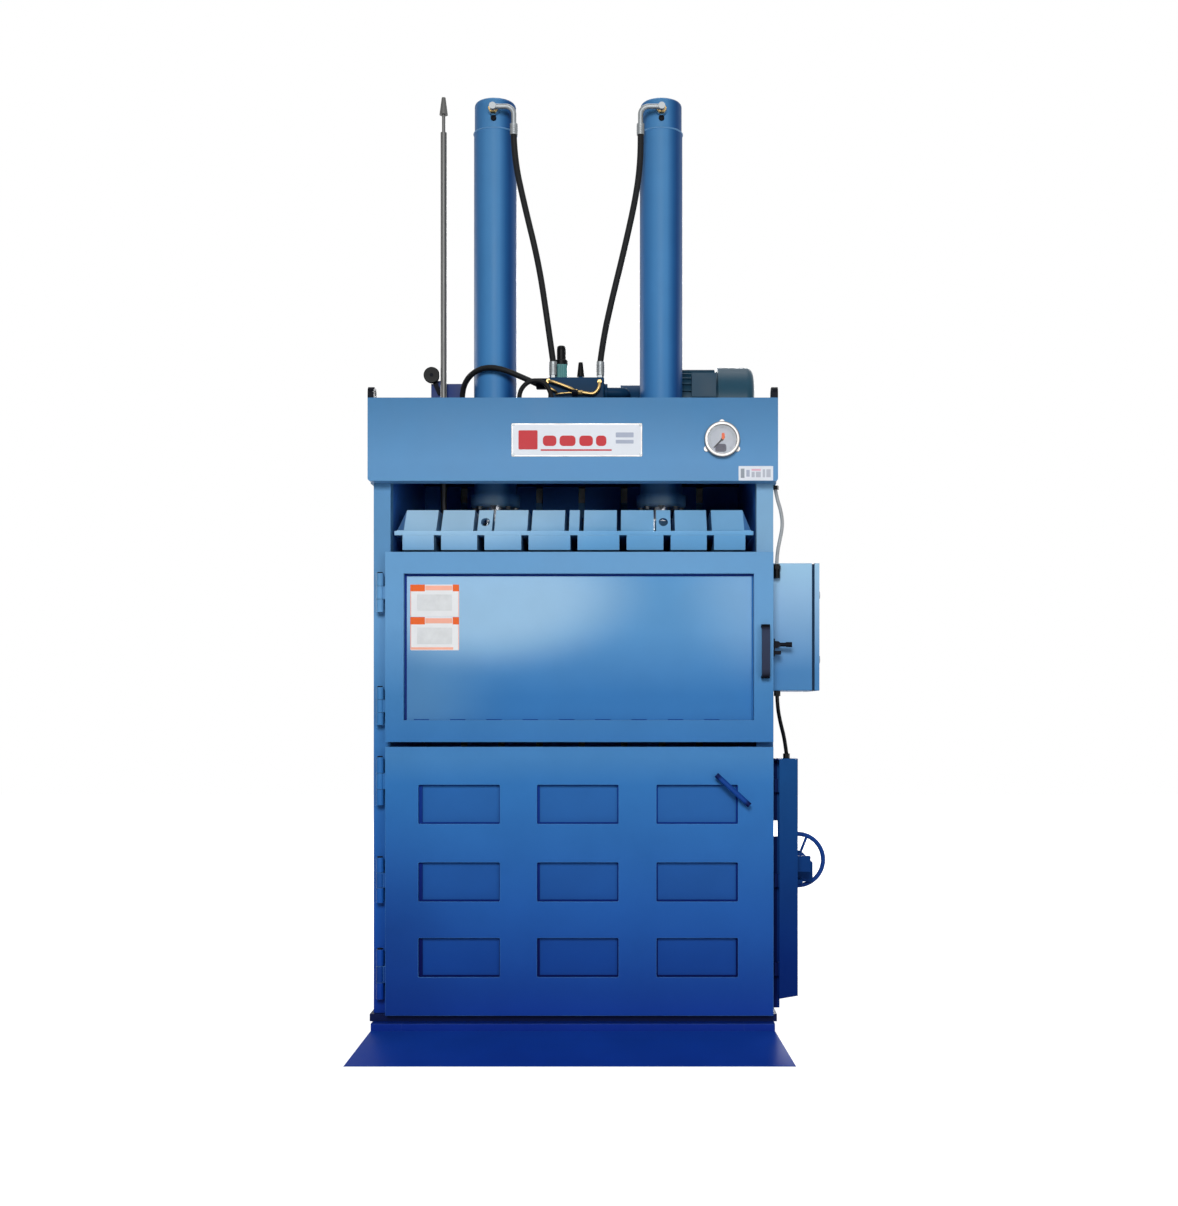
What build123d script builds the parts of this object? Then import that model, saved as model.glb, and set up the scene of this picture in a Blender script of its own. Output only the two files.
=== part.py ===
from build123d import *
import math
import os

# Recycling baler: a vertical press with two hydraulic cylinders that push a
# ribbed platen down into a steel chamber. Millimetres. X to the right, Y to
# the back, Z up. The origin is on the floor, under the middle of the body.

# Body
chamber_width = 1200.0
side_thickness = 55.0
front_y = -450.0
rear_y = 450.0
wall_plate = 8.0
post_depth = 60.0
tube_wall = 6.0
side_rib_height = 60.0
side_rib_levels = (150.0, 570.0, 880.0, 1200.0, 1550.0, 1860.0)

# Base, floor and ramp
base_height = 80.0
base_nose = 60.0
skid_width = 100.0
base_cross_width = 80.0
floor_thickness = 24.0
floor_overhang = 10.0
floor_nose = 20.0
ramp_top_z = 57.0
ramp_thickness = 10.0
ramp_front_y = -760.0
ramp_flare = 42.0

# Crown
crown_bottom_z = 1839.0
crown_top_z = 2109.0
crown_overhang = 10.0
fascia_depth = 60.0
fascia_sheet = 8.0
fascia_corner = 9.0
ceiling_z = 1950.0
ceiling_thickness = 25.0
deck_z = 2080.0
deck_thickness = 8.0
crown_web = 12.0
web_front_y = -135.0
web_rear_y = 120.0
eye_thickness = 20.0
eye_length = 60.0
eye_height = 38.0
eye_bore = 20.0
eye_corner = 22.8
eye_front_y = -480.0
eye_rear_y = 400.0

# Rear wall and the channels for the tying straps
strap_spread = (-0.796, -0.5433, -0.2862, 0.0, 0.2862, 0.5433, 0.796)
strap_slot = 25.0
rear_plate = 10.0
rear_beam_height = 60.0

# Cylinders and rods
cylinder_x = 296.0
bore = 125.0
tube_outer = 152.0
tube_bottom_z = 1860.0
tube_top_z = 3150.0
cap_length = 110.0
cap_diameter = 147.0
cap_edge = 14.0
gland_diameter = 176.0
gland_height = 43.0
gland_chamfer = 7.2
flange_diameter = 236.0
flange_thickness = 30.0
flange_bolts = 8
flange_bolt_size = 24.0
flange_bolt_head = 14.4
flange_bolt_circle = 198.0
head_port_rise = 60.0
rod_port_z = 2130.0
port_boss = 38.0
port_boss_length = 10.0
rod_diameter = 90.0
piston_length = 60.0
piston_gap = 5.0
running_gap = 0.05

# Platen
platen_side_gap = 7.5
platen_front_gap = 35.0
platen_rear_gap = 10.0
platen_z = 1674.0
platen_thickness = 14.0
press_bar_height = 49.0
press_bar_inset = 26.5
press_bar_gap = 24.0
rib_height = 79.0
rib_slope = 75.0
rib_front_inset = 6.0
rib_wall = 6.0
rib_end_slope = 23.0
rib_side_inset = 7.5
rib_centre_gap = 32.0
rib_inner_gap = 14.0
rib_outer_gap = 16.5
lug_space_inner = 32.0
lug_space_outer = 38.0
centre_plate = 34.0
pin_diameter = 30.0
pin_z = 1722.0
rod_eye_width = 56.0
rod_eye_thickness = 48.0
rod_shoulder_z = 1778.0
lug_thickness = 20.0
lug_half_width = 24.0
side_play = 0.5

# Trip rod and limit switch
trip_x = -481.0
trip_diameter = 22.0
trip_foot = 60.0
trip_foot_height = 12.0
trip_shaft_top_z = 3159.0
trip_neck_diameter = 12.0
trip_neck_length = 64.0
trip_cone_diameter = 30.0
trip_tip_diameter = 14.0
trip_cone_length = 61.0
trip_guide_outer = 44.0
trip_guide_proud = 11.0
trip_guide_gap = 0.3
switch_plate_y = 34.0
switch_plate_thickness = 6.0
switch_plate_left = -530.0
switch_plate_right = -419.0
switch_plate_top_z = 2269.0
switch_body_width = 40.0
switch_body_depth = 38.0
switch_body_height = 90.0
roller_x = -526.0
roller_z = 2297.0
roller_diameter = 58.0
roller_width = 14.0
roller_edge = 2.8
roller_y = 12.0
arm_pivot_z = 2236.0
arm_pivot_x = -500.0
arm_shaft_diameter = 12.0
arm_width = 16.0
arm_thickness = 6.0

# Power pack
tank_left = -150.0
tank_side_gap = 15.0
tank_front_gap = 2.0
tank_rear_gap = 20.0
tank_edge = 12.0
motor_y = 230.0
motor_z = 2232.0
motor_radius = 128.0
motor_left = 250.0
motor_body_right = 506.0
motor_right = 639.0
cowl_radius = 135.0
cowl_edge = 28.0
motor_fins = 28
fin_height = 9.0
fin_width = 4.0
motor_foot_width = 216.0
motor_foot_length = 40.0
motor_foot_top = 59.5
terminal_box_size = 88.0
terminal_box_height = 46.0
bell_left = 150.0
bell_flange = 178.0
bell_radius = 72.0
pump_left = 87.0
pump_radius = 52.0
pump_edge = 6.5
block_left = -100.0
block_right = 95.0
block_front_y = -140.0
block_rear_y = -50.0
block_top_z = 2256.0
block_edge = 5.0
coil_x = -57.0
coil_y = -74.0
coil_width = 42.0
coil_bottom_z = 2258.0
coil_top_z = 2311.0
coil_cap_top_z = 2375.0
coil_cap_diameter = 26.0
coil_stem_diameter = 20.0
coil_corner = 7.0
coil_cap_edge = 3.2
knob_x = 12.0
knob_y = -100.0
knob_bottom_z = 2266.0
knob_top_z = 2315.0
knob_diameter = 26.0
knob_tip_diameter = 15.0
knob_stem_diameter = 12.0
knob_bore_depth = 20.0
end_gap = 1.0

# Doors
door_hinge_margin = 47.0
door_latch_margin = 5.0
door_depth = 60.0
door_gap = 1.0
feed_bottom_z = 993.0
feed_top_z = 1609.0
feed_left_stile = 60.0
feed_right_stile = 63.0
feed_bottom_rail = 71.0
feed_top_rail = 70.0
feed_recess = 25.0
door_sheet = 6.0
bale_bottom_z = 106.5
bale_top_z = 977.0
window_corner = 4.0
window_margins_x = (107.5, 115.0)
window_bars_x = (120.5, 123.0)
window_margins_z = (124.5, 122.5)
window_bars_z = (118.0, 124.5)
bale_face_plate = 14.0
bale_liner = 8.0
bale_panel_recess = 24.0
bale_panel = 5.0
bale_edge_rib = 10.0
hinge_inset = 25.5
hinge_reach = 30.0
knuckle_diameter = 26.0
hinge_pin_diameter = 14.0
hinge_pin_head = 18.0
hinge_pin_head_height = 4.0
knuckle_gap = 1.0
leaf_thickness = 12.0
feed_hinge_spans = ((1048.0, 1171.0), (1415.0, 1542.0))
bale_hinge_spans = ((155.0, 317.0), (469.0, 616.0), (787.0, 943.0))

# Handles
pull_inset = 27.5
pull_z = 1286.0
pull_length = 174.0
pull_width = 26.0
pull_reach = 42.0
pull_bar = 9.0
pull_corner = 12.6
bale_handle_upper = (187.0, 89.0)
bale_handle_lower = (80.0, 187.0)
bale_handle_stud_inset = 11.6
bale_handle_bar = 17.0
bale_handle_stud = 13.0
bale_handle_reach = 34.0

# Feed-door latch on the right post
latch_bottom_z = 1273.0
latch_top_z = 1331.0
latch_inset = 18.0
latch_width = 26.0
latch_base_thickness = 6.0
latch_pivot_z = 1312.0
latch_hub_diameter = 22.0
latch_hub_reach = 14.0
latch_ear = 6.0
latch_pin_diameter = 8.0
latch_foot_reach = 26.0
latch_foot_z = 1285.0
latch_foot_height = 12.0
latch_grip_reach = 43.0
latch_lever_reach = 63.0
latch_lever_diameter = 13.0
latch_grip_diameter = 17.0

# Bale-door lock on the right post
cover_side_gap = 15.0
cover_width = 60.0
cover_depth = 60.0
cover_lap = 10.0
cover_sheet = 4.0
cover_top_z = 939.0
cover_left_bottom_z = 159.0
cover_right_bottom_z = 169.0
strip_bottom_z = 120.0
strip_overlap = 6.0
cover_window_bottom_z = 682.0
cover_window_top_z = 734.0
wheel_reach = 99.0
wheel_z = 588.0
wheel_diameter = 190.0
wheel_rim = 15.0
wheel_spoke = 9.0
wheel_spoke_turn = 68.0
wheel_spokes = 3
wheel_hub_diameter = 60.0
wheel_hub_length = 46.0
journal_diameter = 44.0
bracket_plate = 12.0
bracket_y = -300.0
bracket_reach = 147.0
bracket_bottom_z = 517.0
bracket_top_z = 622.0
bracket_chamfer = 40.0
bracket_foot = 60.0
collar_diameter = 56.0
collar_thickness = 9.0
collar_gap = 0.5
screw_diameter = 28.0
screw_rear_y = -215.0
lock_bar_reach = 29.0
lock_bar_width = 30.0
lock_bar_front_y = -470.0
lock_bar_thickness = 14.0
lock_bar_bottom_z = 200.0
lock_bar_top_z = 900.0
claw_gap = 2.0
claw_height = 44.0
claw_levels = (250.0, 540.0, 850.0)
arm_plate_y = -410.0
arm_plate_thickness = 14.0
arm_plate_half = 26.0

# Control cabinet on the right side
cabinet_side_gap = 5.0
cabinet_depth = 130.0
cabinet_front_y = -380.0
cabinet_rear_y = -30.0
cabinet_bottom_z = 1161.0
cabinet_top_z = 1585.0
cabinet_sheet = 2.5
cabinet_edge = 4.0
cabinet_standoff = 40.0
cabinet_standoff_inset = 40.0
mounting_plate = 3.0
mounting_plate_margin = 22.0
mounting_plate_stud = 10.0
relay_count = 5
relay_width = 42.0
relay_depth = 60.0
relay_height = 76.0
relay_z = 1440.0
gasket_thickness = 8.0
gasket_width = 14.0
gasket_inset = 3.0
panel_gap = 1.0
cabinet_door_thickness = 16.0
cabinet_door_sheet = 2.5
cabinet_hinge_diameter = 9.0
cabinet_hinge_pin = 5.0
cabinet_hinge_length = 60.0
cabinet_hinge_levels = (1225.0, 1521.0)
button_travel = 4.0
button_y = -120.0
estop_z = 1500.0
down_z = 1420.0
up_z = 1350.0
estop_diameter = 38.0
estop_proud = 26.0
button_diameter = 24.0
button_proud = 9.0
button_edge = 1.5
button_stem = 12.0
button_ring = 32.0
button_ring_height = 4.0
button_gap = 0.3

# Pressure gauge on the fascia
gauge_inset = 182.0
gauge_rise = 132.0
gauge_diameter = 115.0
gauge_depth = 24.0
gauge_edge = 4.0
gauge_dial_diameter = 96.0
gauge_dial_depth = 13.0
gauge_ears = 3
gauge_ear_diameter = 18.0
gauge_ear_hole = 5.0
needle_length = 38.0
needle_tail = 12.0
needle_width = 4.5
needle_thickness = 1.2
needle_hub_diameter = 10.0
needle_spindle = 3.0
needle_lift = 3.0
needle_rest = 225.0

# Hoses and cables, with the places that their routes go through
hose_diameter = 22.0
left_rod_hose_diameter = 20.0
right_rod_hose_diameter = 16.0
conduit_diameter = 12.0
cable_diameter = 13.0
ferrule_diameter = 27.0
elbow_diameter = 24.0
hose_y = -110.0
elbow_branch_diameter = 21.6
gland_nut_diameter = 26.4
gland_spigot_diameter = 17.6
gland_nut_setback = 4.0

# How far a cut runs past the faces that it opens
overcut = 1.0

# Sizes that follow from the ones above
chamber_half = chamber_width / 2
body_half = chamber_half + side_thickness
floor_z = base_height + floor_thickness
base_front_y = front_y - base_nose
crown_half = body_half + crown_overhang
fascia_front_y = front_y - fascia_depth
ceiling_top_z = ceiling_z + ceiling_thickness
deck_bottom_z = deck_z - deck_thickness
rib_bottom_z = platen_z + platen_thickness
rib_top_z = rib_bottom_z + rib_height
rear_plate_front_y = rear_y - post_depth
rear_plate_rear_y = rear_plate_front_y + rear_plate
platen_half = chamber_half - platen_side_gap
platen_front_y = front_y + platen_front_gap
platen_rear_y = rear_plate_front_y - platen_rear_gap
press_bar_half_span = platen_half - press_bar_inset
strap_places = [share * press_bar_half_span for share in strap_spread]
cylinder_top_z = tube_top_z + cap_length
head_port_z = tube_top_z + head_port_rise
trip_cone_z = trip_shaft_top_z + trip_neck_length
trip_top_z = trip_cone_z + trip_cone_length
tank_right = body_half - tank_side_gap
tank_front_y = web_rear_y + crown_web + tank_front_gap
tank_rear_y = rear_y - tank_rear_gap
door_left = door_hinge_margin - body_half
door_right = body_half - door_latch_margin
door_rear_y = front_y - door_gap
door_front_y = door_rear_y - door_depth
feed_panel_left = door_left + feed_left_stile
feed_panel_right = door_right - feed_right_stile
feed_panel_bottom_z = feed_bottom_z + feed_bottom_rail
feed_panel_top_z = feed_top_z - feed_top_rail
hinge_x = hinge_inset - body_half
hinge_y = front_y - hinge_reach
pull_x = door_right - pull_inset
latch_y = front_y + latch_inset
latch_hub_x = body_half + latch_hub_reach
latch_foot_right = body_half + latch_foot_reach
latch_grip_left = body_half + latch_grip_reach
latch_lever_end = body_half + latch_lever_reach
cover_left = body_half + cover_side_gap
cover_right = cover_left + cover_width
cover_rear_y = front_y + cover_lap
cover_front_y = cover_rear_y - cover_depth
wheel_x = body_half + wheel_reach
bracket_right = body_half + bracket_reach
lock_bar_left = body_half + lock_bar_reach
lock_bar_right = lock_bar_left + lock_bar_width
claw_left = body_half + claw_gap
cabinet_left = body_half + cabinet_side_gap
cabinet_right = cabinet_left + cabinet_depth
gauge_x = crown_half - gauge_inset
gauge_z = crown_bottom_z + gauge_rise
rod_radius = rod_diameter / 2
tube_radius = tube_outer / 2


def pane_spans(low, high, margins, bars):
    """Spans of equal panes between two edges, with a margin at each end and bars between."""
    count = len(bars) + 1
    pane = (high - low - sum(margins) - sum(bars)) / count
    spans = []
    start = low + margins[0]
    for bar in (*bars, 0.0):
        spans.append((start, start + pane))
        start += pane + bar
    return spans


def block(x_span, y_span, z_span):
    """Box between two corners, each span given as its low and high value."""
    size = [high - low for low, high in (x_span, y_span, z_span)]
    middle = [(low + high) / 2 for low, high in (x_span, y_span, z_span)]
    return Pos(*middle) * Box(*size)


def mirrored(low, high, side):
    """The span low to high on the right, or its mirror image on the left."""
    return (low, high) if side > 0 else (-high, -low)


def rod_along_z(x, y, z_span, diameter):
    """Round bar that stands along Z."""
    length = z_span[1] - z_span[0]
    return Pos(x, y, z_span[0] + length / 2) * Cylinder(diameter / 2, length)


def rod_along_y(x, z, y_span, diameter):
    """Round bar that lies along Y."""
    length = y_span[1] - y_span[0]
    return Pos(x, y_span[0] + length / 2, z) * Rot(90, 0, 0) * Cylinder(diameter / 2, length)


def rod_along_x(y, z, x_span, diameter):
    """Round bar that lies along X."""
    length = x_span[1] - x_span[0]
    return Pos(x_span[0] + length / 2, y, z) * Rot(0, 90, 0) * Cylinder(diameter / 2, length)


def prism_yz(points, x_span):
    """Outline in the Y-Z plane, made solid over a span of X."""
    face = Plane.YZ * Polygon(*points)
    return Pos(x_span[0], 0, 0) * extrude(face, amount=x_span[1] - x_span[0], dir=(1, 0, 0))


def prism_xz(points, y_span):
    """Outline in the X-Z plane, made solid over a span of Y."""
    face = Plane.XZ * Polygon(*points)
    return Pos(0, y_span[0], 0) * extrude(face, amount=y_span[1] - y_span[0], dir=(0, 1, 0))


def prism_xy(points, z_span):
    """Outline in the X-Y plane, made solid over a span of Z."""
    face = Polygon(*points)
    return Pos(0, 0, z_span[0]) * extrude(face, amount=z_span[1] - z_span[0], dir=(0, 0, 1))


def box_tube(x_span, y_span, z_span, wall, axis, cap=0.0):
    """Rectangular tube along one axis, with its lower end shut by a cap of that thickness."""
    spans = {"x": x_span, "y": y_span, "z": z_span}
    inner = []
    for name, (low, high) in spans.items():
        start = low + cap if cap > 0 else low - overcut
        inner.append((start, high + overcut) if name == axis else (low + wall, high - wall))
    return block(x_span, y_span, z_span) - block(*inner)


def save(name, *solids):
    """Write one node, which may hold several separate solids."""
    shape = solids[0] if len(solids) == 1 else Compound(children=list(solids))
    export_step(shape, f"parts/{name}.step")


def make_base():
    """Skids with cross members, the floor plate on them and the ramp."""
    skids = []
    for side in (-1, 1):
        skid_x = mirrored(body_half - skid_width, body_half, side)
        skid_y = (base_front_y, rear_y)
        skids.append(box_tube(skid_x, skid_y, (0, base_height), tube_wall, "y", cap=tube_wall))
    inner_x = (skid_width - body_half, body_half - skid_width)
    for low_y in (base_front_y, -base_cross_width / 2, rear_y - base_cross_width):
        cross_y = (low_y, low_y + base_cross_width)
        skids.append(box_tube(inner_x, cross_y, (0, base_height), tube_wall, "x"))
    save("base_frame", *skids)

    floor_half = body_half + floor_overhang
    floor_front_y = front_y - floor_nose
    plate = block((-floor_half, floor_half), (floor_front_y, rear_y), (base_height, floor_z))
    save("chamber_floor", plate)

    run = base_front_y - ramp_front_y
    slope = math.atan2(ramp_top_z, run)
    drop = ramp_thickness / math.cos(slope)
    toe = drop / math.tan(slope)
    profile = [(base_front_y, ramp_top_z), (base_front_y, ramp_top_z - drop)]
    profile += [(ramp_front_y + toe, 0), (ramp_front_y, 0)]
    front_half = body_half + ramp_flare
    sheet = prism_yz(profile, (-front_half, front_half))
    outline = [(-body_half, base_front_y), (body_half, base_front_y)]
    outline += [(front_half, ramp_front_y), (-front_half, ramp_front_y)]
    save("ramp_plate", sheet & prism_xy(outline, (-1, ramp_top_z + overcut)))


def make_body():
    """Side walls with their posts and ribs, and the slotted rear wall."""
    plates = []
    ribs = []
    front_posts = []
    for side in (-1, 1):
        plate_x = mirrored(chamber_half, chamber_half + wall_plate, side)
        post_x = mirrored(chamber_half, body_half, side)
        rib_x = mirrored(chamber_half + wall_plate, body_half, side)
        plate_y = (front_y + post_depth, rear_y - post_depth)
        plates.append(block(plate_x, plate_y, (floor_z, ceiling_z)))
        for level in side_rib_levels:
            rib_z = (level - side_rib_height / 2, level + side_rib_height / 2)
            ribs.append(box_tube(rib_x, plate_y, rib_z, tube_wall, "y"))
        rear_y_span = (rear_y - post_depth, rear_y)
        ribs.append(box_tube(post_x, rear_y_span, (floor_z, ceiling_z), tube_wall, "z"))
        front_span = (front_y, front_y + post_depth)
        front_posts.append(box_tube(post_x, front_span, (floor_z, ceiling_z), tube_wall, "z"))
    save("side_frames", *ribs)

    for bottom, top in feed_hinge_spans + bale_hinge_spans:
        front_posts[0] += hinge_knuckle(bottom, top, fixed=True)
    save("front_posts", *front_posts)

    edges = [-chamber_half]
    for place in strap_places:
        edges += [place - strap_slot / 2, place + strap_slot / 2]
    edges.append(chamber_half)
    for left, right in zip(edges[0::2], edges[1::2]):
        plates.append(block((left, right), (rear_plate_front_y, rear_plate_rear_y), (floor_z, ceiling_z)))
    save("chamber_walls", *plates)

    beams = []
    for level in side_rib_levels:
        beam_z = (level - rear_beam_height / 2, level + rear_beam_height / 2)
        beam_x = (-chamber_half, chamber_half)
        beams.append(box_tube(beam_x, (rear_plate_rear_y, rear_y), beam_z, tube_wall, "x"))
    save("rear_beams", *beams)


def knuckle_spans(bottom, top):
    """Heights of the three knuckles of one hinge, with a gap between them."""
    third = (top - bottom - 2 * knuckle_gap) / 3
    starts = [bottom + index * (third + knuckle_gap) for index in range(3)]
    return [(start, start + third) for start in starts]


def hinge_knuckle(bottom, top, fixed):
    """The outer knuckles on the post, or the middle knuckle on the door."""
    spans = knuckle_spans(bottom, top)
    chosen = (spans[0], spans[2]) if fixed else (spans[1],)
    shape = None
    for span in chosen:
        barrel = rod_along_z(hinge_x, hinge_y, span, knuckle_diameter)
        if fixed:
            leaf_x = (hinge_x - leaf_thickness / 2, hinge_x + leaf_thickness / 2)
            barrel += block(leaf_x, (hinge_y, front_y), span)
        else:
            leaf_y = (hinge_y - leaf_thickness / 2, hinge_y + leaf_thickness / 2)
            barrel += block((hinge_x, door_left), leaf_y, span)
        hole = hinge_pin_diameter + 2 * running_gap
        barrel -= rod_along_z(hinge_x, hinge_y, (span[0] - overcut, span[1] + overcut), hole)
        shape = barrel if shape is None else shape + barrel
    return shape


def make_hinge_pins():
    """One headed pin in each door hinge."""
    pins = []
    for bottom, top in feed_hinge_spans + bale_hinge_spans:
        pin = rod_along_z(hinge_x, hinge_y, (bottom, top), hinge_pin_diameter)
        head_z = (top, top + hinge_pin_head_height)
        pins.append(pin + rod_along_z(hinge_x, hinge_y, head_z, hinge_pin_head))
    save("hinge_pins", *pins)


def make_crown():
    """Fascia, crown panels, cylinder plate, deck and lifting eyes."""
    outer = block((-crown_half, crown_half), (fascia_front_y, front_y), (crown_bottom_z, crown_top_z))
    corners = outer.edges().filter_by(Axis.Y).group_by(Axis.Z)[0]
    outer = fillet(corners, fascia_corner)
    hollow = block(
        (fascia_sheet - crown_half, crown_half - fascia_sheet),
        (fascia_front_y + fascia_sheet, front_y + overcut),
        (crown_bottom_z + fascia_sheet, crown_top_z - fascia_sheet),
    )
    save("crown_fascia", outer - hollow)

    panels = []
    for side in (-1, 1):
        panel_x = mirrored(body_half, crown_half, side)
        panels.append(block(panel_x, (front_y, rear_y), (crown_bottom_z, crown_top_z)))
    rear_span = (rear_y, rear_y + crown_overhang)
    panels.append(block((-crown_half, crown_half), rear_span, (ceiling_z, crown_top_z)))
    save("crown_panels", *panels)

    plate = block((-body_half, body_half), (front_y, rear_y), (ceiling_z, ceiling_top_z))
    for y in (web_front_y, web_rear_y):
        plate += block((-body_half, body_half), (y, y + crown_web), (ceiling_top_z, deck_bottom_z))
    tube_hole = tube_outer + 2 * side_play
    guide_hole = trip_guide_outer
    deck = block((-body_half, body_half), (front_y, rear_y), (deck_bottom_z, deck_z))
    for side in (-1, 1):
        x = side * cylinder_x
        plate -= rod_along_z(x, 0, (ceiling_z - overcut, ceiling_top_z + overcut), tube_hole)
        deck -= rod_along_z(x, 0, (deck_bottom_z - overcut, deck_z + overcut), tube_hole)
    plate -= rod_along_z(trip_x, 0, (ceiling_z - overcut, ceiling_top_z + overcut), guide_hole)
    guide = rod_along_z(trip_x, 0, (deck_bottom_z, deck_z + trip_guide_proud), guide_hole)
    deck += guide
    trip_hole = trip_diameter + 2 * trip_guide_gap
    deck -= rod_along_z(trip_x, 0, (deck_bottom_z - overcut, crown_top_z), trip_hole)
    save("cylinder_plate", plate)
    save("crown_deck", deck)

    eyes = []
    for side in (-1, 1):
        for y in (eye_front_y, eye_rear_y):
            eye_x = mirrored(crown_half - eye_thickness, crown_half, side)
            top_z = crown_top_z + eye_height
            eye = block(eye_x, (y - eye_length / 2, y + eye_length / 2), (crown_top_z, top_z))
            rounded = eye.edges().filter_by(Axis.X).group_by(Axis.Z)[-1]
            eye = fillet(rounded, eye_corner)
            bore_z = crown_top_z + eye_height / 2
            hole_x = (eye_x[0] - overcut, eye_x[1] + overcut)
            eyes.append(eye - rod_along_x(y, bore_z, hole_x, eye_bore))
    save("lifting_eyes", *eyes)


def make_cylinders():
    """Barrels with flange and ports, head caps, glands, and rods with pistons."""
    tubes = []
    caps = []
    glands = []
    rods = []
    for side in (-1, 1):
        x = side * cylinder_x
        tube = rod_along_z(x, 0, (tube_bottom_z, tube_top_z), tube_outer)
        tube += rod_along_z(x, 0, (ceiling_top_z, ceiling_top_z + flange_thickness), flange_diameter)
        bolt_z = (ceiling_top_z, ceiling_top_z + flange_thickness + flange_bolt_head)
        for index in range(flange_bolts):
            angle = math.radians(360 * (index + 0.5) / flange_bolts)
            bolt_x = x + flange_bolt_circle / 2 * math.cos(angle)
            bolt_y = flange_bolt_circle / 2 * math.sin(angle)
            head = extrude(RegularPolygon(flange_bolt_size / 2, 6), amount=bolt_z[1] - bolt_z[0])
            tube += Pos(bolt_x, bolt_y, bolt_z[0]) * head
        port_x = (x - tube_radius - port_boss_length, x)
        tube += rod_along_x(0, rod_port_z, port_x, port_boss)
        tube -= rod_along_z(x, 0, (tube_bottom_z - overcut, tube_top_z + overcut), bore)
        tubes.append(tube)

        cap = rod_along_z(x, 0, (tube_top_z, cylinder_top_z), cap_diameter)
        rim = cap.edges().filter_by(GeomType.CIRCLE).group_by(Axis.Z)[-1]
        cap = fillet(rim, cap_edge)
        boss_y = (-cap_diameter / 2 - port_boss_length, 0)
        caps.append(cap + rod_along_y(x, head_port_z, boss_y, port_boss))

        gland_z = (tube_bottom_z - gland_height, tube_bottom_z)
        gland = rod_along_z(x, 0, gland_z, gland_diameter)
        lower = gland.edges().filter_by(GeomType.CIRCLE).group_by(Axis.Z)[0]
        gland = chamfer(lower, gland_chamfer)
        through = (gland_z[0] - overcut, gland_z[1] + overcut)
        glands.append(gland - rod_along_z(x, 0, through, rod_diameter + 2 * running_gap))

        piston_top_z = tube_top_z - piston_gap
        rod = rod_along_z(x, 0, (rod_shoulder_z, piston_top_z), rod_diameter)
        piston_z = (piston_top_z - piston_length, piston_top_z)
        rod += rod_along_z(x, 0, piston_z, bore - 2 * running_gap)
        eye_y = (-rod_eye_thickness / 2, rod_eye_thickness / 2)
        eye_x = (x - rod_eye_width / 2, x + rod_eye_width / 2)
        rod += rod_along_y(x, pin_z, eye_y, rod_eye_width)
        rod += block(eye_x, eye_y, (pin_z, rod_shoulder_z))
        rods.append(rod - rod_along_y(x, pin_z, (-rod_radius, rod_radius), pin_diameter + 2 * running_gap))
    save("cylinder_tubes", *tubes)
    save("cylinder_ends", *caps, *glands)
    save("piston_rods", *rods)


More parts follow.
